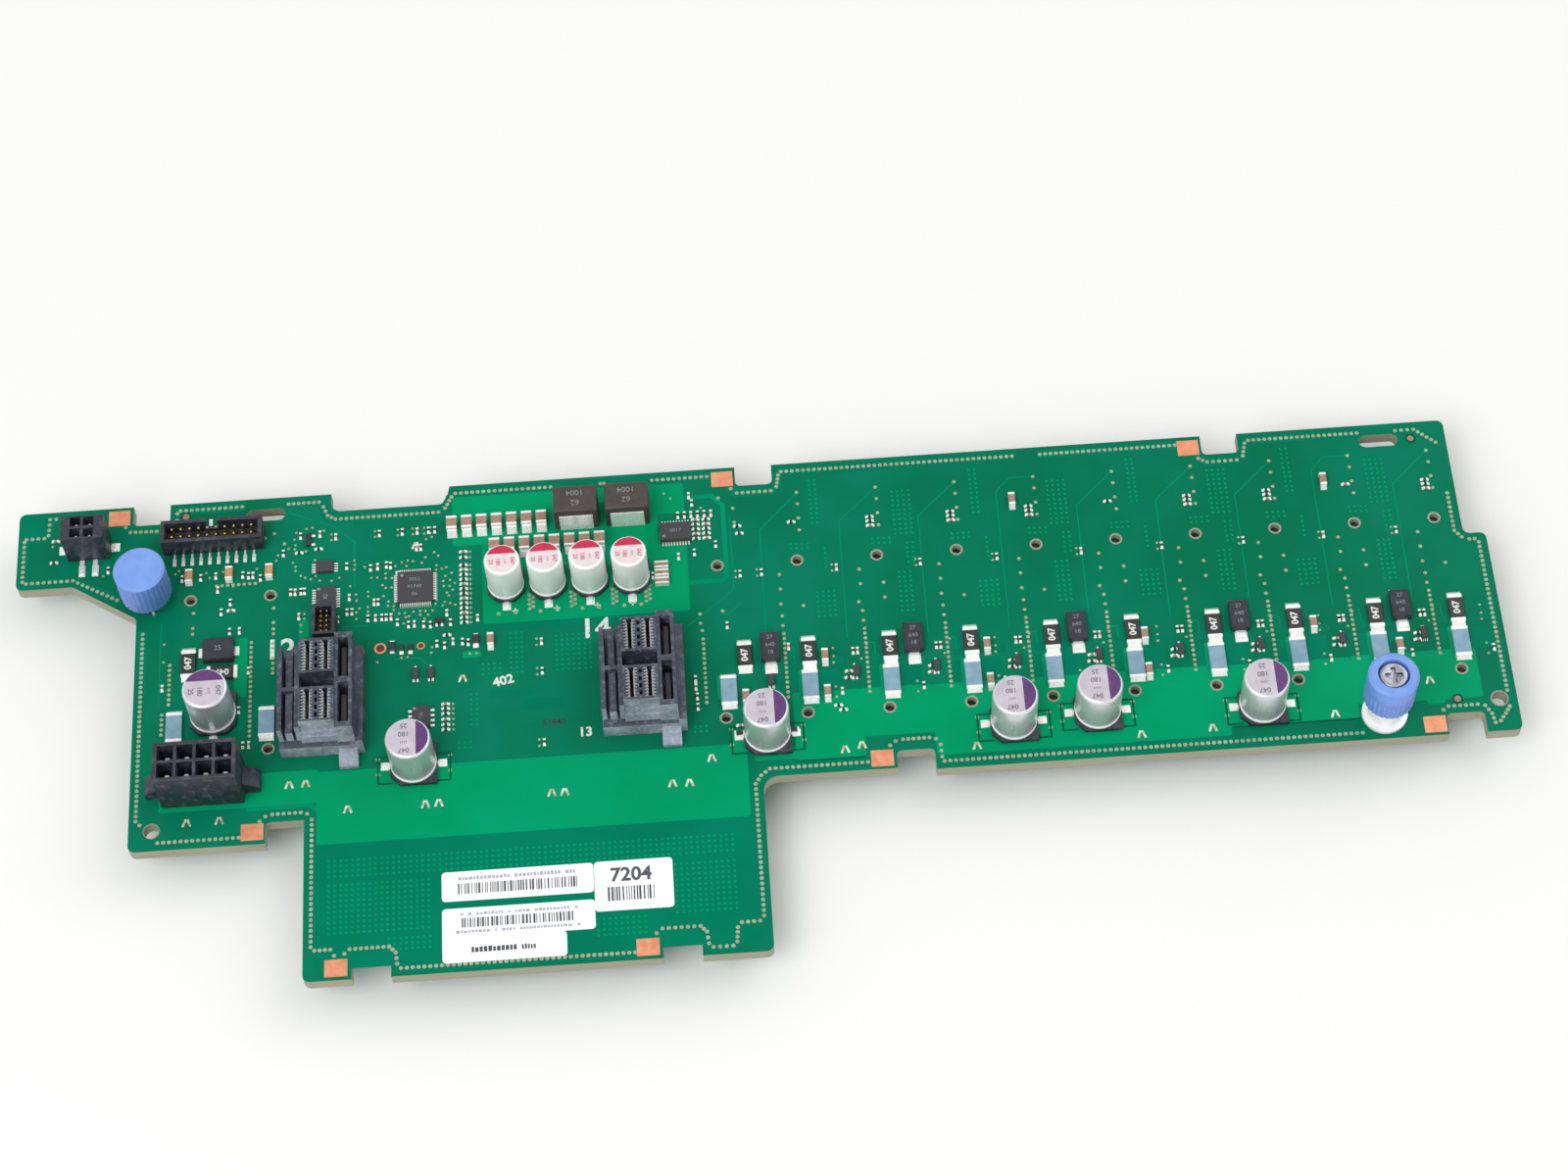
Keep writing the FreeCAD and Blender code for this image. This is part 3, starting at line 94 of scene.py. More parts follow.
def table(text: str, width: int = 2) -> list[tuple[float, ...]]:
    """Reads a table of places in millimetres.

    Args:
        text: The numbers, with spaces between them.
        width: How many numbers one row has.

    Returns:
        The rows.
    """
    values = iter([float(word) for word in text.split()])
    return list(zip(*[values] * width))


def column(x: float, first: float, step: float, count: int) -> list[Point]:
    """Gives places one below the other, a step apart."""
    return [(x, first - step * index) for index in range(count)]


def on_top(points: Sequence[Point], turn: float = 0.0) -> list[Place]:
    """Lifts points to the board's cable side, all turned alike."""
    return [(x, y, TOP, turn) for x, y in points]


def around(x: float, y: float, out: float, side: float, turn: float) -> Point:
    """Gives the point that lies out and to the side of a middle, after a turn in degrees."""
    cos, sin = math.cos(math.radians(turn)), math.sin(math.radians(turn))
    return x + out * cos - side * sin, y + out * sin + side * cos


def linear(code: str) -> tuple[float, float, float, float]:
    """Turns an sRGB hex colour into linear light.

    Args:
        code: The colour as #rrggbb.

    Returns:
        Linear red, green and blue, and an alpha of one.
    """
    values = [int(code[start : start + 2], 16) / 255 for start in (1, 3, 5)]
    light = [v / 12.92 if v <= 0.04045 else ((v + 0.055) / 1.055) ** 2.4 for v in values]
    return light[0], light[1], light[2], 1.0


def add_node(
    tree: bpy.types.NodeTree, kind: str, sockets: dict[str | int, object] | None = None, **settings: object
) -> bpy.types.Node:
    """Adds a node with its settings, values and links.

    Args:
        tree: The tree that gets the node.
        kind: The node's type, after ShaderNode.
        sockets: Input name or number, and either a value or an output to link.
        settings: Properties of the node itself.

    Returns:
        The new node.
    """
    node = tree.nodes.new("ShaderNode" + kind)
    for name, value in settings.items():
        setattr(node, name, value)
    for key, value in (sockets or {}).items():
        if isinstance(value, bpy.types.NodeSocket):
            tree.links.new(value, node.inputs[key])
        else:
            node.inputs[key].default_value = value
    return node


@dataclass
class Layers:
    """A material while it is built: where its patterns lie, and its colour and gloss so far."""

    tree: bpy.types.NodeTree
    coords: Socket
    colour: Socket | None = None
    gloss: Socket | None = None

    def noise(
        self, cell_mm: float, detail: float, squeeze: Spot = (1.0, 1.0, 1.0), roughness: float = 0.5
    ) -> Socket:
        """Adds a noise pattern.

        Args:
            cell_mm: Width of one cell in millimetres.
            detail: Number of finer layers in it.
            squeeze: How far it is pressed together along X, Y and Z.
            roughness: How strong the finer layers are.

        Returns:
            The pattern.
        """
        lie = add_node(self.tree, "Mapping", {"Vector": self.coords, "Scale": squeeze}).outputs[0]
        sockets = {"Vector": lie, "Scale": 1.0 / (cell_mm * MM), "Detail": detail, "Roughness": roughness}
        return add_node(self.tree, "TexNoise", sockets).outputs[0]

    def spread(
        self, value: Socket, low: float, high: float, new_low: float = 0.0, new_high: float = 1.0
    ) -> Socket:
        """Maps the range of values from low to high onto a new range."""
        ends = {"From Min": low, "From Max": high, "To Min": new_low, "To Max": new_high}
        return add_node(self.tree, "MapRange", {"Value": value, **ends}).outputs[0]

    def mix(self, share: Socket, first: object, second: object) -> Socket:
        """Mixes two colours by a share."""
        return add_node(self.tree, "Mix", {0: share, 6: first, 7: second}, data_type="RGBA").outputs[2]

    def reckon(self, operation: str, *values: object) -> Socket:
        """Works out a sum of one or two values."""
        return add_node(self.tree, "Math", dict(enumerate(values)), operation=operation).outputs[0]


# Finishes

DRIFT_BAND = (0.36, 0.64)
GRAIN_BAND = (0.3, 0.7)
DUST_BAND = (0.5, 0.72)


@dataclass(frozen=True)
class Finish:
    """A real material: two tones that drift into each other, a fine grain and a gloss.

    The stretch squeezes the grain along X, Y and Z, for a drawn or brushed surface. The slot is the record's
    material slot that it comes from, if it has one.
    """

    name: str
    tone: str
    other_tone: str
    roughness: float
    metallic: float = 0.0
    ior: float = 1.5
    patch_mm: float = 2.0
    grain_mm: float = 0.3
    relief_mm: float = 0.006
    stray: float = 0.06
    coat: float = 0.0
    specular: float = 0.5
    stretch: Spot = (1.0, 1.0, 1.0)
    slot: str = ""
    least_roughness: float = 0.03

    def material(self) -> bpy.types.Material:
        """Gives this finish's material, made the first time it is asked for."""
        return bpy.data.materials.get(self.name) or self.make()

    def make(self) -> bpy.types.Material:
        """Builds the material's nodes.

        Returns:
            The new material.
        """
        material = bpy.data.materials.new(self.name)
        material.use_nodes = True
        tree = material.node_tree
        shader = tree.nodes["Principled BSDF"]
        net = Layers(tree, add_node(tree, "TexCoord").outputs["Object"])
        drift = net.spread(net.noise(self.patch_mm, 4.0), *DRIFT_BAND)
        net.colour = net.mix(drift, linear(self.tone), linear(self.other_tone))
        grain = net.noise(self.grain_mm, 3.0, self.stretch)
        glossiest = max(self.roughness - self.stray, self.least_roughness)
        net.gloss = net.spread(grain, *GRAIN_BAND, glossiest, self.roughness + self.stray)
        bump = add_node(tree, "Bump", {"Height": grain, "Distance": self.relief_mm * MM}).outputs[0]
        self.extra(net)
        for key, socket in (("Base Color", net.colour), ("Roughness", net.gloss), ("Normal", bump)):
            tree.links.new(socket, shader.inputs[key])
        shader.inputs["Metallic"].default_value = self.metallic
        if self.metallic == 0.0:
            shader.inputs["IOR"].default_value = self.ior
            shader.inputs["Specular IOR Level"].default_value = self.specular
        shader.inputs["Coat Weight"].default_value = self.coat
        return material

    def extra(self, net: Layers) -> None:
        """Leaves a plain finish as it is. Finishes with more layers add them here."""


@dataclass(frozen=True)
class SolderMask(Finish):
    """A thin glossy lacquer, almost without a grain."""

    patch_mm: float = 18.0
    grain_mm: float = 0.8
    stray: float = 0.04
    specular: float = 0.03
    slot: str = "solder_masked_laminate"


@dataclass(frozen=True)
class Print(Finish):
    """A thin layer of ink, or a mark burnt by a laser."""

    patch_mm: float = 0.8
    grain_mm: float = 0.1
    relief_mm: float = 0.002


@dataclass(frozen=True)
class MaskedLaminate(SolderMask):
    """Green solder mask on both faces, with the routed glass-epoxy laminate bare on every cut edge."""

    edge: str = "#b2b39f"
    edge_dark: str = "#928d78"
    layer_mm: float = 0.42
    layer_squeeze: float = 30.0
    mask_mm: float = 0.02
    edge_dullness: float = 0.5

    def extra(self, net: Layers) -> None:
        """Puts the laminate's layers on the cut edges, between the two masked faces.

        Args:
            net: The material so far.
        """
        height = add_node(net.tree, "SeparateXYZ", {0: net.coords}).outputs[2]
        away = net.reckon("ABSOLUTE", net.reckon("SUBTRACT", height, (UNDER + TOP) / 2 * MM))
        on_edge = net.reckon("LESS_THAN", away, ((TOP - UNDER) / 2 - self.mask_mm) * MM)
        plies = net.noise(self.layer_mm * self.layer_squeeze, 5.0, (1.0, 1.0, self.layer_squeeze))
        net.colour = net.mix(on_edge, net.colour, net.mix(plies, linear(self.edge_dark), linear(self.edge)))
        net.gloss = net.reckon("ADD", net.gloss, net.spread(on_edge, 0.0, 1.0, 0.0, self.edge_dullness))


@dataclass(frozen=True)
class DustyPlastic(Finish):
    """Black glass-filled plastic with pale dust and rub marks that gather in soft patches."""

    patch_mm: float = 6.0
    grain_mm: float = 0.25
    relief_mm: float = 0.01
    slot: str = "black_connector_plastic"
    dust: str = "#7d828c"
    dust_share: float = 0.35
    dust_mm: float = 2.2

    def extra(self, net: Layers) -> None:
        """Lays dust over the plastic.

        Args:
            net: The material so far.
        """
        lie = net.noise(self.dust_mm, 6.0, roughness=0.65)
        lie = net.spread(lie, *DUST_BAND, 0.0, self.dust_share)
        net.colour = net.mix(lie, net.colour, linear(self.dust))
        net.gloss = net.reckon("ADD", net.gloss, lie)


# Solder mask is a thin glossy lacquer: dark green over bare laminate, with pale layers on the cut edges.
MASK_ON_LAMINATE = MaskedLaminate(
    "solder_mask_on_laminate", "#05714f", "#077b5b", 0.14, patch_mm=24.0, grain_mm=0.9, relief_mm=0.008,
)
# The mask is brightest where outer copper lies under it.
MASK_ON_COPPER = SolderMask("solder_mask_on_copper", "#009c6a", "#009663", 0.13)
# Over an inner copper plane the green is between the two.
MASK_ON_PLANE = SolderMask("solder_mask_on_inner_plane", "#007d5e", "#007758", 0.14)
# Traces are lower than areas, so the mask over them stays a little darker.
MASK_ON_TRACES = SolderMask("solder_mask_on_traces", "#009268", "#008a61", 0.13, stray=0.06)
# Where copper is cleared away the lacquer looks deeper, as a thin dark line.
MASK_IN_GAPS = SolderMask(
    "solder_mask_in_clearance_gaps", "#005c42", "#00553c", 0.16, patch_mm=6.0, relief_mm=0.004,
    stray=0.06,
)
# A via's rim shows as a small tan dot where the mask thins over its copper.
VIA_RIM = Finish("thinly_masked_via_rims", "#aeb096", "#989c7e", 0.4, patch_mm=4.0)
# Laminate laid bare round the unplated peg holes: pale, matt and a little fibrous.
BARE_LAMINATE = Finish("bare_glass_epoxy_rings", "#9ba08e", "#898f7c", 0.55, patch_mm=1.2, grain_mm=0.12)
# Preserved bare copper: salmon, satin, with faint oxide clouds.
BARE_COPPER = Finish(
    "bare_copper", "#e7a07c", "#d98a63", 0.42, metallic=0.55, grain_mm=0.25, slot="tinned_copper",
)
# The round aiming dots have gone dull and brown.
TARNISHED_COPPER = Finish(
    "tarnished_copper", "#a98476", "#957263", 0.5, metallic=0.2, patch_mm=1.0, grain_mm=0.2,
)
# Dark red oxide inside the test rings.
OXIDISED_COPPER = Finish(
    "oxidised_copper", "#6d2a22", "#5a211b", 0.5, metallic=0.2, patch_mm=1.0, grain_mm=0.2,
)
# Solder spread thin on a test land: bright, and tan where it stops short.
BRIGHT_LAND = Finish(
    "thin_bright_solder_land", "#f0efe8", "#b7a586", 0.34, metallic=0.35, patch_mm=1.1, grain_mm=0.25,
    slot="tinned_copper",
)
# Solder: bright, rounded and faintly pitted.
TIN = Finish(
    "reflowed_tin_solder", "#f8f8f5", "#ecedea", 0.28, metallic=0.36, patch_mm=1.0,
    slot="tin_plated_pins",
)
# Thin gold on contacts: warm and satin.
GOLD = Finish("gold_flash_on_nickel", "#dcb877", "#c7a05e", 0.3, metallic=1.0, slot="gold_plated_pins")
# Nickel plate: a cool, darker mirror.
NICKEL = Finish(
    "nickel_plated_steel", "#a9aab2", "#8f9098", 0.24, metallic=1.0, patch_mm=3.0, grain_mm=0.25,
    stray=0.05, slot="plated_steel",
)
# Drawn wire: a bright line of light along each turn.
SPRING_WIRE = Finish(
    "drawn_spring_steel", "#b9babd", "#9c9da1", 0.3, metallic=1.0, grain_mm=0.15, slot="spring_steel",
)
# Tinned steel that reads almost white under soft light.
FERRULE_TIN = Finish(
    "bright_tinned_steel", "#f9faf9", "#eef0f0", 0.34, metallic=0.15, patch_mm=3.0, slot="white_ferrule",
)
# Deep-drawn aluminium: fine upright draw lines and a satin sheen.
DRAWN_ALUMINIUM = Finish(
    "drawn_aluminium", "#dfe1e5", "#cfd2d6", 0.32, metallic=0.6, patch_mm=5.0, grain_mm=0.35,
    relief_mm=0.004, stretch=(1.0, 1.0, 0.05), slot="aluminium_can",
)
# The slim cans are paler, a satin that takes the light on its whole side.
SATIN_ALUMINIUM = Finish(
    "satin_can_aluminium", "#fcfefd", "#f2f7f4", 0.38, metallic=0.05, patch_mm=5.0, grain_mm=0.35,
    relief_mm=0.004, stretch=(1.0, 1.0, 0.05), slot="aluminium_can",
)
# Black nylon, fine and matt, a little dusty.
CONNECTOR_BLACK = DustyPlastic("glass_filled_black_nylon", "#262b35", "#1e222b", 0.42)
# The cable connectors' polymer is blue-black and rubbed pale in clouds.
CABLE_BLACK = DustyPlastic(
    "black_liquid_crystal_polymer", "#3c4251", "#2e3440", 0.4, dust="#98a2b2", dust_share=0.5,
    dust_mm=1.5,
)
# Down in the slots the polymer is painted near black: painted shade in the wells.
CABLE_SLOT_SHADE = Finish("painted_shade_inside_slots", "#1d1e24", "#26272e", 0.5, patch_mm=1.0, grain_mm=0.2)
# The stepped near faces and the combs are painted pale: a painted highlight where they catch the light, with
# pale dust over it.
CABLE_HIGHLIGHT = DustyPlastic(
    "polymer_painted_highlight_at_the_steps", "#929ba8", "#757e8c", 0.45, dust="#c9d1d9", dust_share=0.6,
    dust_mm=0.9,
)
# Plated contact blades catch the light as bright streaks down in the wells.
CONTACT_SILVER = Finish(
    "plated_contact_blades", "#fbfaf6", "#e6e0d2", 0.3, metallic=0.1, patch_mm=0.8, grain_mm=0.2,
    slot="tin_plated_pins",
)
# A tall can's lid is lacquered, faintly lavender.
LAVENDER_LID = Finish("lavender_can_lacquer", "#ccc5cf", "#bfb7c2", 0.36, patch_mm=3.0, relief_mm=0.004)
# A slim can's lid is paler and faintly pink.
PINK_LID = Finish("pale_pink_can_lacquer", "#eadfe0", "#e0d2d5", 0.36, patch_mm=3.0, relief_mm=0.004)
# The grip's flutes carry painted shade: their sides are coloured darker than the smooth cap, where less light
# falls on them.
BLUE_FLUTES = Finish(
    "shaded_blue_flutes", "#7195e2", "#678bd8", 0.4, patch_mm=3.0, grain_mm=0.25, relief_mm=0.008,
)
# The hidden drive receptacles: plain black, nearly clean.
DRIVE_BLACK = DustyPlastic(
    "black_moulded_polyester", "#17181b", "#1f2125", 0.45, dust="#5b5f66", dust_share=0.2,
)
# Chip bodies: charcoal, dull and even.
CHIP_EPOXY = Finish(
    "moulded_epoxy", "#2c2e31", "#232528", 0.5, grain_mm=0.12, relief_mm=0.008, specular=0.25,
    slot="moulded_epoxy",
)
# The diodes' epoxy is a shade greyer.
DIODE_EPOXY = Finish(
    "moulded_grey_epoxy", "#35383d", "#2b2e32", 0.5, grain_mm=0.12, relief_mm=0.008, specular=0.3,
    slot="moulded_epoxy",
)
# Ceramic capacitors: fired brown, semi-matt.
BROWN_CERAMIC = Finish(
    "fired_brown_ceramic", "#a98876", "#977765", 0.45, patch_mm=1.5, grain_mm=0.1, slot="ceramic",
)
# The three tan chips: warmer and paler.
TAN_CERAMIC = Finish(
    "fired_tan_ceramic", "#c59c68", "#b48a58", 0.45, patch_mm=1.5, grain_mm=0.1, slot="tan_ceramic",
)
# Resistor glaze: black with a small sharp shine.
BLACK_GLAZE = Finish(
    "black_glaze", "#1c1d20", "#26272b", 0.3, patch_mm=1.2, grain_mm=0.2, slot="resistor_black",
)
# Fuse bodies: flat blue-grey glass ceramic.
BLUE_GLASS = Finish(
    "blue_grey_glass_ceramic", "#86aabb", "#789cae", 0.4, patch_mm=2.5, grain_mm=0.15, relief_mm=0.005,
    slot="fuse_ceramic",
)
# Pressed powder: brown-grey, rough and without shine.
IRON_POWDER = Finish(
    "pressed_iron_powder", "#443b37", "#38312e", 0.55, grain_mm=0.18, relief_mm=0.015, slot="ferrite",
)
# The knobs' light blue nylon, smooth with a faint coat of shine.
BLUE_NYLON = Finish(
    "moulded_light_blue_nylon", "#7aa2ea", "#7098e0", 0.4, patch_mm=4.0, grain_mm=0.25, relief_mm=0.008,
    coat=0.1, slot="blue_knob_plastic",
)
# Label paper: bright, even white.
LABEL_PAPER = Finish(
    "coated_label_paper", "#fdfdfe", "#f7f8f9", 0.5, patch_mm=8.0, grain_mm=0.15, relief_mm=0.004,
    slot="label_paper",
)
# Thermal print: dark blue-grey bars.
LABEL_INK = Print("thermal_print", "#3a3b45", "#55565f", 0.6, relief_mm=0.001)
# Small print that is weak and grey.
FAINT_INK = Print("weak_thermal_print", "#a5a7b4", "#b9bac4", 0.6, relief_mm=0.001)
# Screen ink: broken, slightly greenish white.
WHITE_INK = Print(
    "white_screen_ink", "#e8ece8", "#cfd8cf", 0.5, patch_mm=0.9, grain_mm=0.12, relief_mm=0.004,
)
# Laser marks: a paler grey than the epoxy.
GREY_PRINT = Print("laser_marked_epoxy", "#8e9296", "#797d82", 0.6, patch_mm=0.7)
# Print on the tall cans: soft grey.
DARK_PRINT = Print("dark_can_ink", "#6a6670", "#7d7984", 0.5)
# The tall cans' mark: glossy purple.
PURPLE_INK = Finish("purple_can_lacquer", "#5f3273", "#532a66", 0.3, relief_mm=0.004)
# Print on the slim cans: thin crimson.
RED_PRINT = Print("crimson_can_ink", "#c9506c", "#d06a82", 0.5)
# The slim cans' mark: strong crimson.
RED_INK = Finish("crimson_can_lacquer", "#cf2450", "#bd1c45", 0.3, relief_mm=0.004)
NODES_OF: dict[Finish, str] = {
    MASK_ON_LAMINATE: "circuit_board",
    BARE_COPPER: "ground_pads",
    CONNECTOR_BLACK: "power_header_housing aux_header_housing ribbon_header_shroud service_header_shroud"
    " capacitor_bases",
    TIN: "power_header_pins aux_header_pins capacitor_leads inductor_clips chip_terminals"
    " diode_tabs chip_leads",
    GOLD: "ribbon_header_pins service_header_pins",
    DRAWN_ALUMINIUM: "capacitor_cans",
    IRON_POWDER: "power_inductor_1 power_inductor_2",
    BROWN_CERAMIC: "ceramic_capacitors",
    TAN_CERAMIC: "tan_chip_parts",
    BLACK_GLAZE: "sense_resistors",
    BLUE_GLASS: "surface_fuses",
    DIODE_EPOXY: "diode_bodies",
    CHIP_EPOXY: "transistor_bodies controller_chip regulator_chip small_chips",
    LABEL_PAPER: "paper_labels",
    FERRULE_TIN: "screw_ferrule",
    BLUE_NYLON: "screw_knob plunger_knob",
    NICKEL: "captive_screw plunger_barrel plunger_pin",
    SPRING_WIRE: "screw_spring plunger_spring",
    CABLE_BLACK: "cable_connector_1 cable_connector_2",
}
NODE_FINISH = {node: finish for finish, nodes in NODES_OF.items() for node in nodes.split()}


# Modelling by hand

SHARP_DEG = 35
FLAT_DEG = 0.6
SMOOTH_DEG = 30
TINY_M = 1e-6
FONT_TO_HEIGHT = 1.35


def release() -> None:
    """Leaves nothing selected."""
    bpy.ops.object.select_all(action="DESELECT")


def take(piece: Piece) -> None:
    """Selects one piece alone and makes it active."""
    release()
    piece.select_set(True)
    bpy.context.view_layer.objects.active = piece


def shape(piece: Piece, *steps: Callable[[], object]) -> None:
    """Runs edit-mode steps on a piece with all of its faces selected.

    Args:
        piece: The piece to shape.
        steps: The operators to call, in order.
    """
    take(piece)
    bpy.ops.object.mode_set(mode="EDIT")
    bpy.ops.mesh.select_mode(type="VERT")
    bpy.ops.mesh.select_all(action="SELECT")
    for step in steps:
        step()
    bpy.ops.object.mode_set(mode="OBJECT")


def choose_faces(piece: Piece, wanted: Test) -> None:
    """Selects the faces of a piece that meet a test, and no other face, edge or corner.

    Args:
        piece: The piece, in object mode.
        wanted: Says whether a face is wanted.
    """
    take(piece)
    bpy.ops.object.mode_set(mode="EDIT")
    bpy.ops.mesh.select_mode(type="FACE")
    bpy.ops.mesh.select_all(action="DESELECT")
    bpy.ops.object.mode_set(mode="OBJECT")
    for face in piece.data.polygons:
        face.select = wanted(face)
    bpy.ops.object.mode_set(mode="EDIT")


def faces_up(face: bpy.types.MeshPolygon) -> bool:
    """Says whether a face looks up."""
    return face.normal.z > 0.9


def push(
    piece: Piece, wanted: Test, ways: Sequence[Spot], scale: Spot | None = None, about: Spot = ORIGIN
) -> None:
    """Pushes the faces that meet a test out of a piece, in one or more steps.

    Args:
        piece: The piece, in object mode.
        wanted: Says whether a face is pushed.
        ways: How far each step goes along X, Y and Z, in millimetres.
        scale: How much larger the faces get along X, Y and Z at the end, if they do.
        about: The place that they grow from, in millimetres.
    """
    choose_faces(piece, wanted)
    for way in ways:
        bpy.ops.mesh.extrude_region_move(TRANSFORM_OT_translate={"value": [value * MM for value in way]})
    if scale:
        bpy.ops.transform.resize(value=scale, center_override=[value * MM for value in about])
    bpy.ops.object.mode_set(mode="OBJECT")


def place(piece: Piece, x: float, y: float, z: float, turn: float) -> Piece:
    """Turns a piece's mesh about Z by so many degrees, and moves it to a place in millimetres."""
    spin = Matrix.Rotation(math.radians(turn), 4, "Z")
    piece.data.transform(Matrix.Translation((x * MM, y * MM, z * MM)) @ spin)
    return piece


def block(size: Spot, low_centre: Spot, edge: float = 0.0, steps: int = 1) -> Piece:
    """Models a block that stands on a point, with its edges broken.

    Args:
        size: Length, depth and height in millimetres.
        low_centre: Middle of its underside in millimetres.
        edge: Width of the broken edges in millimetres.
        steps: Number of faces across a broken edge.

    Returns:
        The block.
    """
    release()
    x, y, z = low_centre
    bpy.ops.mesh.primitive_cube_add(size=1.0, location=(x * MM, y * MM, (z + size[2] / 2) * MM))
    piece = bpy.context.object
    piece.scale = (size[0] * MM, size[1] * MM, size[2] * MM)
    bpy.ops.object.transform_apply(location=True, rotation=True, scale=True)
    if edge > 0:
        shape(piece, lambda: bpy.ops.mesh.bevel(offset=edge * MM, segments=steps, affect="EDGES"))
    return piece


def turned(radius: float, low_centre: Spot, height: float, sides: int = 32, rim: float = 0.0) -> Piece:
    """Models a round plate or post, with its top rim broken by an inset face.

    Args:
        radius: Radius in millimetres.
        low_centre: Middle of its underside in millimetres.
        height: Height in millimetres.
        sides: Number of sides.
        rim: Width of the broken top rim in millimetres.

    Returns:
        The post.
    """
    release()
    x, y, z = low_centre
    bpy.ops.mesh.primitive_cylinder_add(
        vertices=sides, radius=radius * MM, depth=(height - rim) * MM,
        location=(x * MM, y * MM, (z + (height - rim) / 2) * MM),
    )
    piece = bpy.context.object
    bpy.ops.object.transform_apply(location=True, rotation=True, scale=True)
    if rim > 0:
        scale = 1 - rim / radius
        push(piece, faces_up, [(0, 0, rim)], (scale, scale, 1), low_centre)
    return piece


def flat_ring(inner: float, outer: float, low_centre: Spot, height: float, sides: int = 20) -> Piece:
    """Models a flat ring by growing a circle outwards and then up.

    Args:
        inner: Inner radius in millimetres.
        outer: Outer radius in millimetres.
        low_centre: Middle of its underside in millimetres.
        height: Height in millimetres.
        sides: Number of sides.

    Returns:
        The ring.
    """
    release()
    x, y, z = low_centre
    spot = (x * MM, y * MM, z * MM)
    bpy.ops.mesh.primitive_circle_add(vertices=sides, radius=inner * MM, fill_type="NOTHING", location=spot)
    piece = bpy.context.object
    bpy.ops.object.transform_apply(location=True, rotation=True, scale=True)
    scale = outer / inner
    shape(
        piece,
        lambda: bpy.ops.mesh.extrude_region_move(),
        lambda: bpy.ops.transform.resize(value=(scale, scale, 1), center_override=spot),
        lambda: bpy.ops.mesh.select_all(action="SELECT"),
        lambda: bpy.ops.mesh.extrude_region_move(TRANSFORM_OT_translate={"value": (0, 0, height * MM)}),
        lambda: bpy.ops.mesh.select_all(action="SELECT"),
        lambda: bpy.ops.mesh.normals_make_consistent(inside=False),
    )
    return piece


def solder_wedge(width: float, reach: float, height: float) -> Piece:
    """Models a solder fillet at the origin that falls away towards -Y.

    Args:
        width: Width along X in millimetres.
        reach: How far it runs out along -Y in millimetres.
        height: Height where it meets the part, in millimetres.

    Returns:
        The fillet.
    """
    piece = block((width, reach, height), (0, -reach / 2, 0))
    push(piece, faces_up, [], (0.9, 0.2, 1), (0, 0, height))
    return piece


def modify(piece: Piece, kind: str, **settings: object) -> None:
    """Adds a modifier with its settings to a piece, and applies it."""
    take(piece)
    bpy.ops.object.modifier_add(type=kind)
    modifier = piece.modifiers[-1]
    for name, value in settings.items():
        setattr(modifier, name, value)
    bpy.ops.object.modifier_apply(modifier=modifier.name)


def cut_away(piece: Piece, cutter: Piece) -> None:
    """Cuts one piece with another, which is used up.

    Args:
        piece: The piece that is cut.
        cutter: What is taken away.
    """
    modify(piece, "BOOLEAN", operation="DIFFERENCE", object=cutter)
    bpy.data.objects.remove(cutter)


def numerals(
    text: str, size: float, low_centre: Spot, turn: float, thick: float = 0.02, bold: float = 0.0
) -> Piece:
    """Models plain printed numerals as a thin solid.

    Args:
        text: The numerals.
        size: Their height in millimetres.
        low_centre: Middle of their underside in millimetres.
        turn: Turn about Z in degrees.
        thick: Thickness of the ink in millimetres.
        bold: How far the strokes grow to each side, in millimetres.

    Returns:
        The numerals as a mesh.
    """
    release()
    bpy.ops.object.text_add()
    words = bpy.context.object
    words.data.body = text
    words.data.size = size * MM * FONT_TO_HEIGHT
    words.data.align_x = "CENTER"
    words.data.align_y = "CENTER"
    words.data.extrude = thick / 2 * MM
    words.data.offset = bold * MM
    words.data.resolution_u = 3
    bpy.ops.object.convert(target="MESH")
    piece = bpy.context.object
    x, y, z = low_centre
    return place(piece, x, y, z + thick / 2, turn)


def weld(pieces: Sequence[Piece], name: str) -> Piece:
    """Joins pieces into one.

    Args:
        pieces: The pieces, one or more.
        name: The joined piece's name.

    Returns:
        The joined piece.
    """
    release()
    for piece in pieces:
        piece.select_set(True)
    bpy.context.view_layer.objects.active = pieces[0]
    if len(pieces) > 1:
        bpy.ops.object.join()
    pieces[0].name = name
    return pieces[0]


def stamp(master: Piece, places: Sequence[Place], name: str) -> Piece:
    """Copies a master that stands at the origin to many places, and joins the copies.

    Args:
        master: The piece to repeat. It is used up.
        places: X, Y and Z in millimetres and the turn about Z in degrees.
        name: The joined piece's name.

    Returns:
        The joined copies.
    """
    copies = []
    for spot in places:
        copy = bpy.data.objects.new(name, master.data.copy())
        bpy.context.scene.collection.objects.link(copy)
        copies.append(place(copy, *spot))
    bpy.data.objects.remove(master)
    return weld(copies, name)


def repeat(master: Piece, step: Point, count: int) -> Piece:
    """Repeats a piece in a straight row.

    Args:
        master: The piece, which stays the row's first.
        step: From one to the next along X and Y, in millimetres.
        count: How many there are.

    Returns:
        The row.
    """
    way = (step[0] * MM, step[1] * MM, 0)
    modify(
        master, "ARRAY", count=count, use_relative_offset=False, use_constant_offset=True,
        constant_offset_displace=way,
    )
    return master


def body_of_node(node: str) -> Body:
    """Finds the body that a CAD node rides on."""
    bodies = frame["record"]["behaviour"]["bodies"]
    return Body(next(body for body, nodes in bodies.items() if node in nodes))


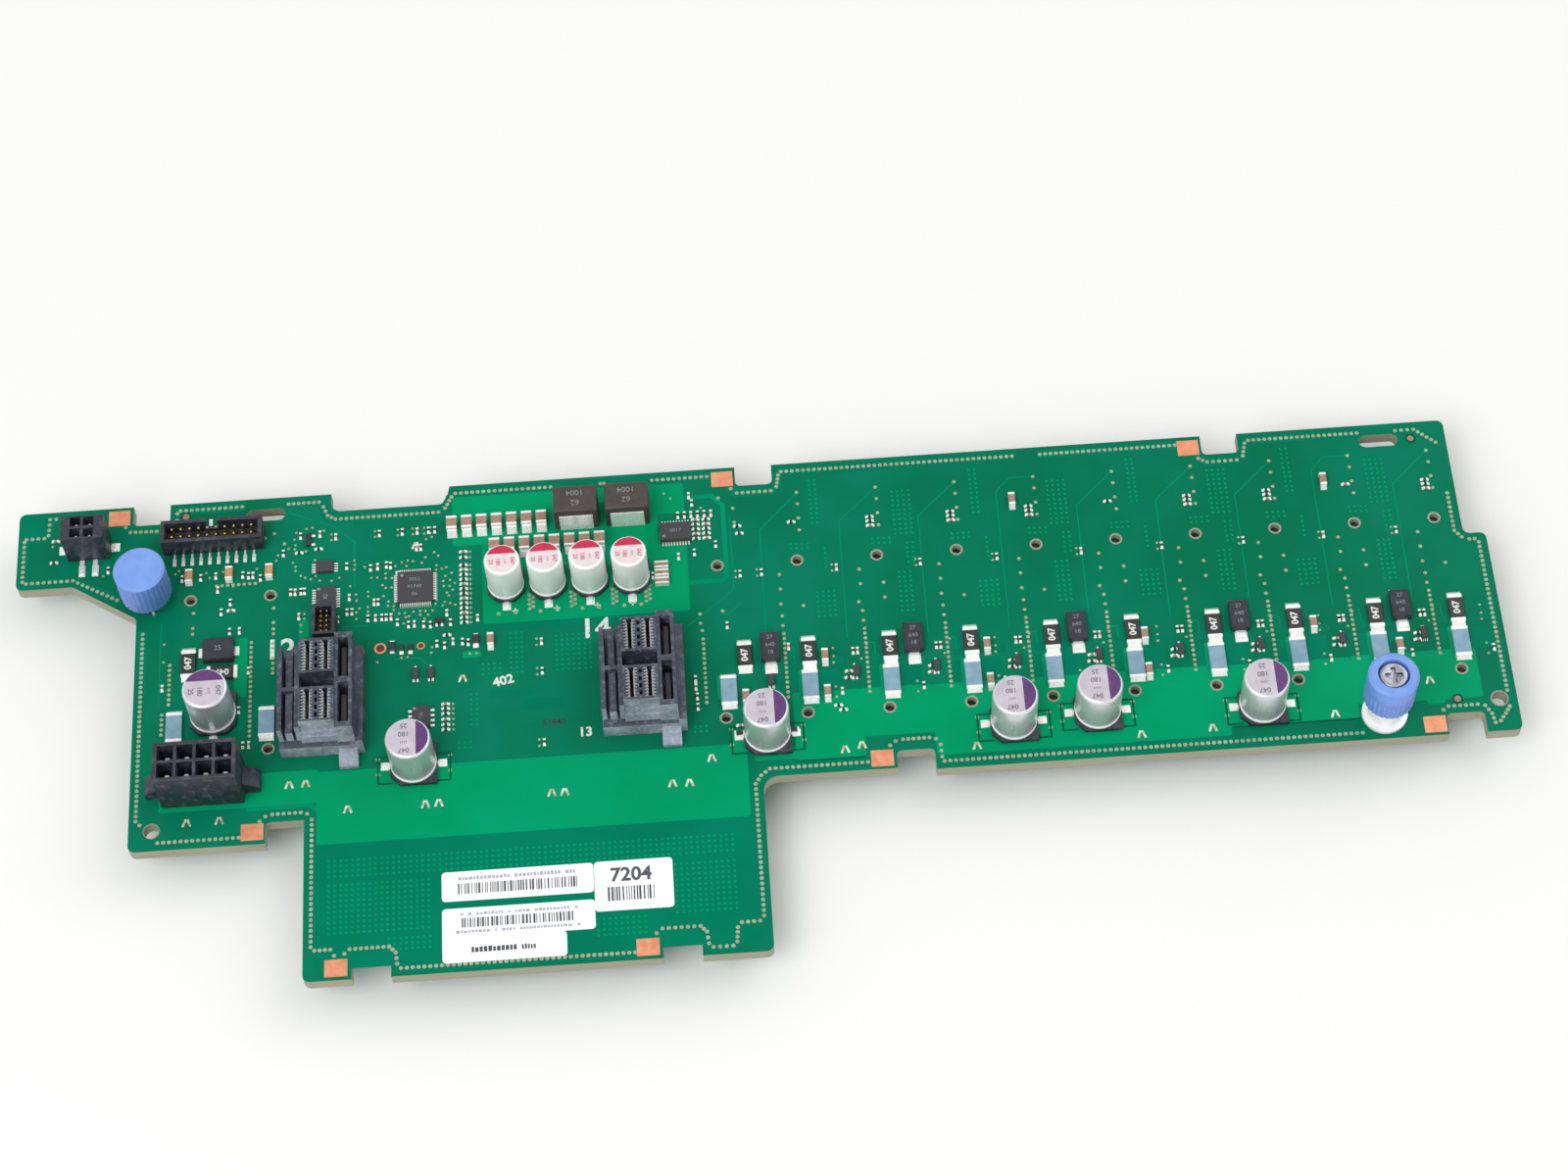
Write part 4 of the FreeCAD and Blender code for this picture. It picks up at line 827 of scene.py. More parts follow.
def settle(piece: Piece, finish: Finish, body: Body = Body.BOARD, stands_for: str = "") -> Piece:
    """Dresses a finished piece, smooths it, puts it on its body and reports it.

    Args:
        piece: The piece.
        finish: Its finish.
        body: The body that it rides on.
        stands_for: The CAD node that it replaces, if it does.

    Returns:
        The same piece.
    """
    piece.data.materials.clear()
    piece.data.materials.append(finish.material())
    take(piece)
    bpy.ops.object.shade_smooth_by_angle(angle=math.radians(SMOOTH_DEG))
    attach(piece, body.value)
    if stands_for:
        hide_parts(stands_for)
    LOG.info("%s: %d faces, %s", piece.name, len(piece.data.polygons), finish.name)
    return piece


def refinish(piece: Piece, finish: Finish, wanted: Test) -> None:
    """Gives a second finish to the faces of a settled piece that meet a test.

    Args:
        piece: The piece.
        finish: Their finish.
        wanted: Says whether a face gets it.
    """
    piece.data.materials.append(finish.material())
    slot = len(piece.data.materials) - 1
    for face in piece.data.polygons:
        if wanted(face):
            face.material_index = slot


def round_uprights(piece: Piece, radius: float) -> None:
    """Rounds a piece's upright edges.

    Args:
        piece: The piece.
        radius: Their radius in millimetres.
    """
    choose_faces(piece, lambda face: False)
    bpy.ops.mesh.select_mode(type="EDGE")
    bpy.ops.object.mode_set(mode="OBJECT")
    for edge in piece.data.edges:
        start, end = (piece.data.vertices[index].co for index in edge.vertices)
        edge.select = (start.xy - end.xy).length < TINY_M
    bpy.ops.object.mode_set(mode="EDIT")
    bpy.ops.mesh.bevel(offset=radius * MM, segments=3, affect="EDGES")
    bpy.ops.object.mode_set(mode="OBJECT")


def soften(node: str, edge: float, steps: int = 2, name: str = "", corner: float = 0.0) -> Piece:
    """Gives a CAD node's shape the small moulded radii of the real piece.

    Args:
        node: The node, which the new piece replaces.
        edge: Width of the rounded edges in millimetres.
        steps: Number of faces across an edge.
        name: The piece's name, or nothing for the node's name with _body added.
        corner: Radius of its upright edges in millimetres, if they are rounder.

    Returns:
        The new piece.
    """
    piece = bpy.data.objects.new(name or node + "_body", frame["nodes"][node].data.copy())
    bpy.context.scene.collection.objects.link(piece)
    shape(
        piece,
        lambda: bpy.ops.mesh.remove_doubles(threshold=TINY_M),
        lambda: bpy.ops.mesh.dissolve_limited(angle_limit=math.radians(FLAT_DEG)),
    )
    if corner > 0:
        round_uprights(piece, corner)
    modify(
        piece, "BEVEL", width=edge * MM, segments=steps, limit_method="ANGLE",
        angle_limit=math.radians(SHARP_DEG), use_clamp_overlap=True,
    )
    return settle(piece, NODE_FINISH.get(node, DRIVE_BLACK), body_of_node(node), node)


def walk(corners: Sequence[Point], pitch: float) -> list[Point]:
    """Places points at an even pitch along an open path.

    Args:
        corners: The path's corners.
        pitch: The wanted distance from one point to the next.

    Returns:
        The points.
    """
    points = []
    for near_end, far_end in zip(corners, corners[1:]):
        start = Vector(near_end)
        end = Vector(far_end)
        count = max(round((end - start).length / pitch), 1)
        points += [tuple(start.lerp(end, step / count)) for step in range(count)]
    return points + [tuple(corners[-1])]


# Sub-assemblies


@dataclass
class Layout:
    """Places on the board that several sub-assemblies share, in millimetres."""

    pitch: float = 18.0
    bays: int = 10
    first_bay: float = -7.2
    left_bay: float = -125.95
    peg_far: float = 34.95
    peg_near: float = -4.25
    ink: float = 0.03

    def bay_x(self, bay: int) -> float:
        """Gives the middle of a right-hand bay."""
        return self.first_bay + self.pitch * bay

    def all_bays(self) -> list[float]:
        """Gives the middle of every bay, the two left ones first."""
        left = [self.left_bay, self.left_bay + self.pitch]
        return left + [self.bay_x(bay) for bay in range(self.bays)]

    def pegs(self) -> list[Point]:
        """Gives the middle of every peg hole."""
        return [(x, y) for x in self.all_bays() for y in (self.peg_far, self.peg_near)]


@dataclass
class BoardFace:
    """The board's printed layers: copper under the mask, vias, bare rings, traces and screen print."""

    layout: Layout
    via_radius: float = 0.42
    via_pitch: float = 1.25
    skin: float = 0.02
    hair: float = 0.0006
    peg_hole: float = 1.05
    ring: float = 1.48
    ring_thick: float = 0.05
    dimple_pitch: float = 1.26
    dimple_radius: float = 0.31
    edge_strip: float = 2.3
    trace: float = 0.24
    wide_trace: float = 1.1
    aiming_dot: float = 0.75
    mask_opening: float = 1.25

    def paths(self) -> list[list[Point]]:
        """Gives the runs of the via row that follows the outline, between pads, slots and fixings.

        Returns:
            Each run's corners.
        """
        runs = """
            -154.6 59.1  -158.7 59.1  -158.9 54.8  -159.8 54.1  -163.9 54.1  -164.3 53.4  -164.3 42.8
            -163.4 42.3  -152.8 42.3  -142.6 36.4;
            -141.3 55.6  -140.2 54.2  -134.2 54.0;
            -129.6 56.6  -129.6 58.4  -128.9 59.1  -114.8 59.1;
            -104.2 59.0  -97.2 59.0  -96.2 57.6  -95.2 55.2  -93.4 54.1  -69.9 54.1  -68.4 55.1
            -66.9 58.0  -66.0 58.9  -44.2 58.9;
            -32.8 58.9  -32.0 58.9;
            -21.0 58.9  -8.4 58.9;
            -3.1 55.2  -1.8 53.9  6.0 53.9  7.3 54.9  7.9 58.0  8.6 58.9  61.6 58.9;
            68.0 58.9  99.0 58.9;
            103.9 54.9  105.8 53.8  112.6 53.8  114.1 54.8  114.9 58.2  115.8 58.9  140.8 58.9;
            149.6 58.9  153.8 58.9  158.3 55.0;
            158.8 41.2  158.8 31.2  160.2 29.4  161.8 28.7  163.0 28.7  163.8 27.8  163.8 -10.4;
            163.7 -14.4  162.6 -16.0  161.2 -17.8  160.0 -18.2  159.6 -15.9  158.4 -13.8  156.8 -13.4
            150.4 -13.4  149.2 -14.2;
            130.9 -18.5  39.6 -18.5  39.2 -17.4  39.1 -14.4  38.2 -12.9  36.8 -12.5  31.0 -12.5
            29.4 -12.8  28.1 -13.8;
            23.0 -17.5  1.6 -17.5  -0.4 -19.0  -1.7 -21.0  -1.7 -52.6  -2.6 -53.7  -6.5 -53.8  -7.4 -54.9
            -7.7 -58.2  -8.6 -59.1  -12.8 -59.1  -13.7 -58.2  -14.0 -55.4  -15.3 -54.0  -23.4 -54.0
            -24.7 -55.0;
            -29.4 -59.1  -79.0 -59.1  -79.8 -58.0  -80.1 -55.4  -81.5 -53.9  -89.9 -53.9  -91.0 -54.9;
            -93.2 -55.2  -94.0 -53.7  -97.4 -53.7  -98.2 -52.8  -98.2 -22.4  -99.2 -20.9  -100.6 -20.5
            -106.8 -20.5  -108.3 -20.9  -109.5 -22.0;
            -114.0 -25.6  -131.6 -25.6;
            -135.6 -21.0  -136.5 -20.0  -136.5 27.0
        """
        return [table(run) for run in runs.split(";")]

    def stitching(self) -> None:
        """Lays the row of vias that follows the outline, and the strip of copper that it stitches."""
        points = [point for path in self.paths() for point in walk(path, self.via_pitch)]
        self.dots(points, "stitching_vias", 1.1)
        strips = []
        for path in self.paths():
            for index, (start, end) in enumerate(zip(path, path[1:])):
                rise = self.skin * (0.5 + 0.15 * (index % 3))
                strips.append(self.strip(start, end, self.edge_strip, rise))
        settle(weld(strips, "mask_over_edge_copper"), MASK_ON_PLANE)

    def dots(self, points: Sequence[Point], name: str, scale: float = 1.0) -> None:
        """Lays small tan dots.

        Args:
            points: Their places.
            name: The piece's name.
            scale: Their size against a stitching via.
        """
        master = turned(self.via_radius * scale, ORIGIN, self.skin + 0.03, 8, 0.02)
        settle(stamp(master, on_top(points), name), VIA_RIM)

    def via_columns(self) -> None:
        """Lays the columns and loose vias of each bay."""
        points: list[Point] = []
        for bay in range(self.layout.bays):
            x = self.layout.bay_x(bay)
            points += column(x - 4.1, 16.1, 1.24, 14)
            if not bay:
                continue
            points += [(x + 1.0, y) for y in (53.0, 49.9, 46.1, 42.9)]
            points += [(x - 4.2, y) for y in (31.5, 27.7, 20.7, 18.2)]
            if bay in (2, 5, 6, 7, 8):
                points += [(x - 4.9, 23.0), (x + 1.0, 27.7), (x + 1.0, 23.8)]
            else:
                points += [(x - 4.3, 23.8), (x + 0.7, 23.0)]
        points += table("""
            -6.1 52.9  -2.9 49.9  -2.8 46.1  -6.6 23.0  -11.7 20.2  -11.7 22.6  -11.4 18.3
        """)
        for x, first, count in ((-130.2, 18.5, 9), (-131.6, 6.0, 5), (-112.1, 23.0, 20)):
            points += column(x, first, self.via_pitch, count)
        points += [(-107.2, y) for y in (31.6, 27.8, 26.2, 24.9, 22.4, 21.2, 18.6, 17.3, 16.0, 14.8)]
        for x in (-49.3, -39.9, -30.6, -23.1):
            for way in (-1, 1):
                points += column(x + way * 0.42, 30.8 + way * 0.25, 1.2, 4)
        points += [(-120.2 + self.via_pitch * step, 38.4) for step in range(8)]
        points += table("""
            -125.2 31.6  -125.3 27.7  -125.3 26.2  -107.3 51.3  -109.4 50.2  -105.0 48.4
        """)
        self.dots(points, "bay_vias")

    def copper(self) -> None:
        """Lays the copper areas under the mask as thin sheets with rounded corners."""
        bright = table("""
            -97.2 -28.7 -3.1 -10.9  -131.6 -18.4 -97.0 -10.2  7.6 -16.0 22.8 0.9  -1.6 -15.4 8.2 -12.6
            22.6 -11.2 38.4 0.9  38.2 -17.0 102.6 0.7  102.2 -14.9 131.0 0.5  131.0 -11.6 158.4 0.8
            146.0 -12.6 150.0 -8.0  -66.8 44.6 -20.2 57.8  -60.2 23.7 -13.8 44.8  -20.6 49.6 -14.0 57.6
            -101.6 23.2 -99.2 28.0  -64.9 15.3 -60.8 17.1  -6.5 -12.4 -3.0 -7.4  -115.8 9.2 -112.9 24.4
        """, 4)
        for bay in range(self.layout.bays):
            x = self.layout.bay_x(bay)
            bright.append((x - 1.6, 0.4, x + 1.2, 6.6))
        plane = table("""
            -97.6 -58.4 -2.8 -28.7  -165.2 55.2 -159.8 60.4  -156.4 43.4 -144.6 51.8
            -145.6 51.6 -139.6 57.2  -131.2 1.0 -113.6 9.4  -62.8 22.0 -14.0 23.9
        """, 4)
        for bay in range(1, self.layout.bays):
            x = self.layout.bay_x(bay)
            plane += [(x - 3.0, 7.6, x + 8.6, 9.4), (x - 3.4, 0.6, x + 7.6, 6.4)]
        gaps = []
        line, reach, foot = 0.4, 8.1, 4.6
        for x, y in TALL_CANS:
            left, near, right, far = x - reach, y - 4.4, x + reach, y + 2.6
            gaps += [(left, near, left + line, far), (right - line, near, right, far)]
            for low, high in ((near, near + line), (far - line, far)):
                gaps += [(left + line, low, x - foot, high), (x + foot, low, right - line, high)]
        gaps += [(7.8, -16.3, 22.6, -16.0), (102.8, -15.1, 130.8, -14.8)]
        self.sheets(plane, 0.4, MASK_ON_PLANE, "mask_over_plane_areas", self.skin * 0.4)
        self.sheets(bright, 0.6, MASK_ON_COPPER, "mask_over_copper_areas", self.skin)
        self.sheets(gaps, 0.02, MASK_IN_GAPS, "mask_in_clearance_gaps", self.skin * 2.6)

    def strip(self, start: Point, end: Point, width: float, thick: float) -> Piece:
        """Models a flat strip with broken edges from one place to another.

        Args:
            start: Where it starts.
            end: Where it ends.
            width: Its width in millimetres.
            thick: Its thickness in millimetres.

        Returns:
            The strip.
        """
        way = Vector(end) - Vector(start)
        middle = (Vector(end) + Vector(start)) / 2
        piece = block((way.length + width * 0.7, width, thick), ORIGIN, thick * 0.4)
        return place(piece, middle.x, middle.y, TOP, math.degrees(math.atan2(way.y, way.x)))

    def sheets(self, rects: Sequence[Rect], corner: float, finish: Finish, name: str, thick: float) -> None:
        """Models thin rectangles with rounded corners, each a hair thicker than the last.

        Args:
            rects: Left, near, right and far sides.
            corner: Corner radius in millimetres.
            finish: The sheets' finish.
            name: The joined piece's name.
            thick: The first one's thickness in millimetres.
        """
        pieces = []
        for index, (left, near, right, far) in enumerate(rects):
            size = (right - left, far - near, thick + self.hair * index)
            sheet = block(size, ((left + right) / 2, (near + far) / 2, TOP))
            round_uprights(sheet, corner)
            holes = [
                turned(self.peg_hole, (x, y, TOP - 0.5), 1.2, 24)
                for x, y in self.layout.pegs() if left < x < right and near < y < far
            ]
            if holes:
                cut_away(sheet, weld(holes, "hole_cutter"))
            pieces.append(sheet)
        settle(weld(pieces, name), finish)

    def dimples(self) -> None:
        """Lays the fields of small covered vias that show as brighter green dots."""
        fields = table("""
            -94.4 -36.6 -6.8 -32.4  -94.4 -50.0 -71.8 -38.0  -20.0 -50.4 -6.8 -38.0
            -81.6 -54.6 -71.6 -51.0  -37.0 -54.6 -26.0 -49.6  -54.2 10.9 -51.2 21.0  -44.0 10.8 -36.0 20.4
            -60.4 10.9 -55.4 13.6  -63.2 -1.6 -61.6 7.2  -66.0 -7.2 -63.0 -5.8  -14.2 -7.2 -11.0 -5.8
        """, 4)
        for bay in range(self.layout.bays - 2):
            x = self.layout.bay_x(bay) + (22.6 if bay % 3 else 22.0)
            if bay % 2:
                fields += [(x, 40.2, x + 4.0, 52.4), (x, 20.0, x + 2.6, 31.2), (x + 2.4, 32.6, x + 3.9, 38.8)]
            else:
                fields += [(x, 44.6, x + 1.6, 56.0), (x, 20.0, x + 4.0, 27.0), (x + 2.4, 32.6, x + 2.9, 38.8)]
            fields.append((x - 5.2, 38.0, x - 1.2, 39.4))
        lots = []
        pitch = self.dimple_pitch
        for left, near, right, far in fields:
            dot = turned(self.dimple_radius, (left, near, TOP), 0.045, 8, 0.02)
            line = repeat(dot, (pitch, 0.0), int((right - left) / pitch) + 1)
            lots.append(repeat(line, (0.0, pitch), int((far - near) / pitch) + 1))
        settle(weld(lots, "covered_vias"), MASK_ON_COPPER)

    def traces(self) -> None:
        """Runs the traces that show through the mask, as narrow raised strips."""
        fine: list[list[Point]] = []
        for bay in range(1, self.layout.bays):
            x = self.layout.bay_x(bay)
            if bay in (4, 8):
                fine.append([(x + 1.0, 53.1), (x - 4.6, 53.1), (x - 7.8, 49.6), (x - 7.9, 14.0)])
            else:
                fine.append([(x + 1.0, 53.0), (x - 7.9, 44.6 if bay > 1 else 43.6), (x - 8.1, 14.0)])
            fine.append([(x - 4.0, 12.4), (x - 2.2, 12.4), (x - 2.2, 9.4)])
        fine += [[(-104.0, 56.6), (-94.0, 52.2), (-89.0, 47.6), (-89.0, 36.0)]]
        fine += [[(-92.0, 25.4), (-86.0, 25.4)]]
        fine += [[(-14.8, 19.6), (-5.4, 27.0), (-3.8, 28.6), (-3.8, 47.6)], [(-2.4, 24.8), (-6.0, 21.4)]]
        fine += [[(-80.0, 16.2), (-74.6, 16.2), (-72.0, 13.6)], [(-132.4, 29.4), (-132.4, 8.0)]]
        wide = [[(-14.2, 53.6), (-7.6, 53.6), (-5.2, 50.8), (-5.2, 32.2), (-6.2, 31.0), (-13.8, 31.0)]]
        wide += [[(-97.0, -20.0), (-98.6, -18.8), (-112.0, -18.9)]]
        strips = []
        for paths, width, lift in ((fine, self.trace, 0.0), (wide, self.wide_trace, 0.006)):
            for path in paths:
                for index, (start, end) in enumerate(zip(path, path[1:])):
                    rise = self.skin * 0.5 + lift + 0.001 * index
                    strips.append(self.strip(start, end, width, rise))
        settle(weld(strips, "traces_under_mask"), MASK_ON_TRACES)

    def rings(self) -> None:
        """Lays the bare rings round the peg holes, the screw holes and the test rings."""
        thick = self.ring_thick
        ring = flat_ring(self.peg_hole, self.ring, ORIGIN, thick)
        settle(stamp(ring, on_top(self.layout.pegs()), "peg_hole_rims"), BARE_LAMINATE)
        screw_holes = ((1.86, (-133.0, -22.7, TOP)), (1.98, (161.8, -12.3, TOP)))
        bare = [flat_ring(1.7, outer, spot, thick, 24) for outer, spot in screw_holes]
        settle(weld(bare, "screw_hole_rings"), BARE_LAMINATE)
        large, small = (-83.25, 19.25, TOP), (-74.2, 19.25, TOP)
        copper = [flat_ring(0.95, 1.35, large, thick, 24), flat_ring(0.62, 0.9, small, thick)]
        settle(weld(copper, "copper_test_rings"), BARE_COPPER)
        cores = [turned(radius, spot, 0.04, 20, 0.01) for radius, spot in ((0.96, large), (0.63, small))]
        settle(weld(cores, "oxidised_test_ring_cores"), OXIDISED_COPPER)

    def fiducials(self) -> None:
        """Lays the round bare aiming dots and their clear rings."""
        places = on_top([(152.75, 56.5), (152.7, -11.7), (-127.6, 57.4)])
        for radius, rise, name, finish in (
            (self.mask_opening, 0.034, "mask_openings_round_aiming_dots", MASK_IN_GAPS),
            (self.aiming_dot, 0.05, "aiming_dots", TARNISHED_COPPER),
        ):
            settle(stamp(turned(radius, ORIGIN, rise, 20, 0.01), places, name), finish)

    def screen_print(self) -> None:
        """Prints plus signs and plain numerals in white, and one plain number in black."""
        lines = [
            block((length, depth, self.layout.ink), (x, 26.7, TOP), 0.008)
            for x in (-52.9, -43.6, -34.5, -26.6) for length, depth in ((1.4, 0.28), (0.28, 1.4))
        ]
        settle(weld(lines, "screen_printed_plus_signs"), WHITE_INK)
        words = [
            numerals(word, size, (x, y, TOP), turn, self.layout.ink, bold)
            for word, size, x, y, turn, bold in (
                ("12", 5.2, -105.6, 20.6, 0.0, 0.14), ("14", 5.2, -35.2, 20.6, 0.0, 0.14),
                ("402", 2.3, -56.0, 8.9, 12.0, 0.1), ("13", 2.3, -38.2, -5.4, 0.0, 0.1),
            )
        ]
        settle(weld(words, "screen_printed_numerals"), WHITE_INK)
        black = [numerals("51840", 1.5, (-45.0, -2.4, TOP + self.skin), 2.0, 0.02, 0.03)]
        settle(weld(black, "black_printed_number"), BLACK_GLAZE)
        corner = block((1.5, 1.5, 0.03), (-79.0, 38.4, TOP), 0.006)
        shape(
            corner,
            lambda: bpy.ops.mesh.bisect(
                plane_co=(-79.0 * MM, 38.4 * MM, 0), plane_no=(1, -1, 0), use_fill=True, clear_outer=True
            ),
        )
        settle(weld([corner], "printed_first_pin_corner"), WHITE_INK)
        boxes = [(-51.7, 1.2, -42.8, 4.0), (-59.0, 4.9, -49.4, 6.6)]
        self.sheets(boxes, 0.1, MASK_ON_PLANE, "faint_filled_boxes", self.skin * 0.6)

    def chevrons(self) -> None:
        """Lays the pairs of slanted bare test lands, like small open arrowheads."""
        spots = table("""
            -125.4 -21.2  -118.3 -21.2  -103.2 -13.6  -99.6 -13.5  -90.4 -20.5  -73.5 -20.5  -70.6 -20.4
            -46.0 -19.8  -43.2 -19.8  -19.7 -19.5  -16.0 -19.6  -65.0 10.2  -10.9 -13.9  18.3 -14.0
            22.0 -13.2  47.0 -15.3  83.0 -15.2  98.6 -14.8  125.6 -13.4  147.4 -6.6  -75.1 45.6
        """)
        places = [(x + way * 0.5, y, TOP, 90.0 + way * 20.0) for x, y in spots for way in (-1, 1)]
        settle(stamp(block((1.9, 0.5, 0.06), ORIGIN, 0.02), places, "slanted_test_lands"), BRIGHT_LAND)

    def build(self) -> None:
        """Builds every printed layer of the cable side."""
        self.copper()
        self.dimples()
        self.traces()
        self.stitching()
        self.via_columns()
        self.rings()
        self.fiducials()
        self.screen_print()
        self.chevrons()


@dataclass
class SmallParts:
    """The tiny surface-mount resistors and capacitors with their soldered ends, and the vias among them."""

    layout: Layout
    length: float = 1.15
    width: float = 0.6
    height: float = 0.45
    dot_radius: float = 0.3

    def bay_parts(self) -> tuple[list[Point], list[Point], list[Point]]:
        """Gives the parts and dots that come again from bay to bay.

        Returns:
            Parts that lie across the board, parts that lie along it, and dots.
        """
        along: list[Point] = []
        across: list[Point] = []
        dots: list[Point] = []
        along += [(x, y) for x in (27.9, 46.2, 64.0, 100.0, 118.1, 154.2) for y in (45.1, 44.0, 42.8)]
        along += [(10.1, 45.1), (82.0, 45.0), (136.2, 45.3), (-2.2, 45.0), (-1.8, 43.0)]
        for x in (-2.6, 2.2, 19.1, 38.0, 55.3, 74.3, 92.5, 110.9, 129.0, 145.4):
            across.append((x + 0.4, 32.4))
            dots += [(x - 0.6, 33.2), (x - 0.6, 31.6)]
        for x in (22.2, 40.7, 58.4, 76.0, 94.4, 112.3, 130.3, 148.3):
            across += [(x - 0.5, 10.5), (x + 0.5, 10.5)]
            along += [(x - 1.7, 5.4), (x - 1.9, 3.8)]
            dots += [(x + 1.2, 8.4), (x + 2.6, 12.0)]
        for bay in range(1, self.layout.bays):
            x = self.layout.bay_x(bay)
            dots += [(x + 6.5, 11.6), (x + 6.5, 9.5), (x + 6.4, 7.9), (x + 6.5, 1.8), (x + 6.5, -0.8)]
            across.append((x + 7.9, 0.6))
        along += [(17.6, -3.0), (18.6, -4.2), (-4.2, -6.4)]
        across += table("""
            7.5 12.7  -5.8 19.2  -13.5 6.0  -13.5 4.0  -13.3 1.6  -13.3 -1.0
        """)
        return across, along, dots

    def left_across(self) -> list[Point]:
        """Gives the parts of the left half that lie across the board."""
        found = table("""
            -93.3 49.3  -83.4 49.4  -78.2 49.4  -74.8 49.4  -72.2 49.4  -70.8 49.4  -75.0 45.0  -74.0 45.0
            -85.4 40.4  -83.8 40.6  -81.8 40.9  -80.9 40.7  -84.6 31.3  -83.7 31.3  -86.0 27.2  -84.3 27.2
            -82.9 27.2  -81.9 27.2  -80.8 27.2  -79.4 25.7  -76.9 24.9  -75.6 25.0  -73.5 24.7  -72.0 24.5
            -68.3 27.3  -67.5 24.8  -103.4 35.4  -102.4 35.3  -101.1 35.4  -100.3 35.4  -90.2 33.0
            -90.7 29.2  -89.6 29.2  -101.5 28.9  -92.8 27.4  -90.8 41.3  -61.4 25.5  -70.6 19.5
            -68.9 18.9  -67.0 19.8  -64.9 19.6  -63.6 19.3  -47.3 18.3  -47.3 10.75  -47.3 -7.25
            -131.7 12.7  -112.6 15.8  -113.5 -3.0  -112.2 -3.0  -114.6 5.9  -117.0 26.2  -114.8 26.2
            -119.0 31.4  -117.0 33.8  -119.9 37.3  -123.8 40.8  -128.0 40.8  -120.4 41.0  -114.3 40.8
            -113.0 40.5  -112.0 40.5  -110.3 39.7  -144.9 44.4  -96.9 50.3  -101.3 50.1  -105.2 45.8
            -12.8 54.0  -12.2 52.0  -12.2 38.8  -15.8 38.0  -7.3 40.6  -21.8 33.4  -23.2 33.4
        """)
        found += [(-15.5 + 1.5 * step, 48.9) for step in range(6)]
        return found

    def left_along(self) -> list[Point]:
        """Gives the parts of the left half that lie along the board."""
        found = [(-64.4, 43.0), (-64.4, 41.5)] + column(-64.4, 39.5, 1.25, 13)
        found += [(-68.85, y) for y in (3.9, 2.75, 1.5, 0.1, -1.25, -2.5)]
        found += table("""
            -157.1 53.0  -157.3 47.3  -68.3 21.5  -116.8 31.6  -97.2 46.3  -101.6 45.6
        """)
        for step in range(5):
            found += [(-11.6, 47.4 - 1.25 * step), (-9.2, 47.4 - 1.25 * step)]
        return found

    def left_dots(self) -> list[Point]:
        """Gives the loose vias round the controller and the chips of the left half."""
        found = [(x - 1.0, y + rise) for x, y in self.left_across()[:6] for rise in (-0.75, 0.75)]
        found += column(-62.9, 39.5, 1.25, 13) + [(-62.9, 43.0), (-62.9, 41.5)]
        found += [(-67.2, y) for y in (3.9, 2.75, 1.5, 0.1, -1.25, -2.5)]
        found += [(-48.4, y + rise) for y in (18.3, 10.75, -7.25) for rise in (-0.8, 0.8)]
        found += table("""
            -72.8 47.1  -71.5 47.6  -71.0 43.5  -70.1 42.5  -73.0 42.3  -75.8 41.5  -77.0 41.7  -78.3 41.4
            -77.3 40.3  -73.8 40.9  -79.8 40.5  -86.7 40.8  -85.2 37.8  -83.9 37.8  -82.0 38.7  -82.0 37.5
            -80.6 37.4  -82.7 35.7  -82.0 34.9  -80.7 34.9  -82.5 32.8  -81.4 31.3  -81.5 30.2  -80.2 30.0
            -86.0 34.2  -85.9 33.0  -86.0 30.2  -86.0 29.0  -80.2 29.0  -79.0 28.0  -77.7 28.0  -77.5 26.9
            -75.8 28.2  -76.8 27.1  -74.3 28.3  -73.1 28.2  -72.5 27.2  -71.5 28.2  -74.3 27.3  -73.3 26.2
            -78.0 25.3  -70.5 40.0  -70.6 38.8  -69.3 39.0  -68.3 39.3  -67.1 37.7  -68.5 37.0  -69.0 35.7
            -67.5 35.9  -66.4 35.0  -68.9 34.4  -67.6 34.3  -66.9 33.3  -68.2 32.6  -67.8 31.8  -68.7 30.2
            -70.8 29.9  -67.5 29.8  -66.4 29.3  -69.2 29.3  -71.7 18.7  -71.9 17.3  -78.5 16.5  -77.2 16.6
            -63.3 16.4  -61.8 16.4  -83.9 15.8  -89.1 42.7  -89.0 41.5  -89.1 40.3  -88.7 33.7  -88.6 32.1
            -90.0 36.0  -87.9 30.0  -88.6 29.0  -88.6 27.3  -103.0 43.2  -102.4 42.1  -102.4 41.0
            -98.0 43.5  -98.0 40.8  -97.8 39.3  -101.2 39.6  -100.2 39.0  -98.9 38.5  -96.9 38.0
            -94.2 37.7  -92.5 38.4  -100.3 29.5  -100.3 28.3  -101.0 26.7  -101.0 24.9  -96.0 51.2
            -102.3 51.1  -102.7 49.3  -102.5 47.8  -102.6 46.7  -100.1 46.0  -104.0 47.0  -100.0 52.0
            -98.6 52.2  -157.8 51.7  -129.6 42.2  -128.8 43.0  -127.2 42.8  -122.6 42.0  -121.8 40.6
            -118.8 42.0  -117.6 41.2  -111.2 42.2  -116.4 38.0  -131.2 41.0  -106.4 45.4  -106.8 44.0
            -146.0 43.0  -131.6 19.4  -131.6 24.0  -18.4 55.0  -17.0 53.6  -10.2 50.6
        """)
        return found

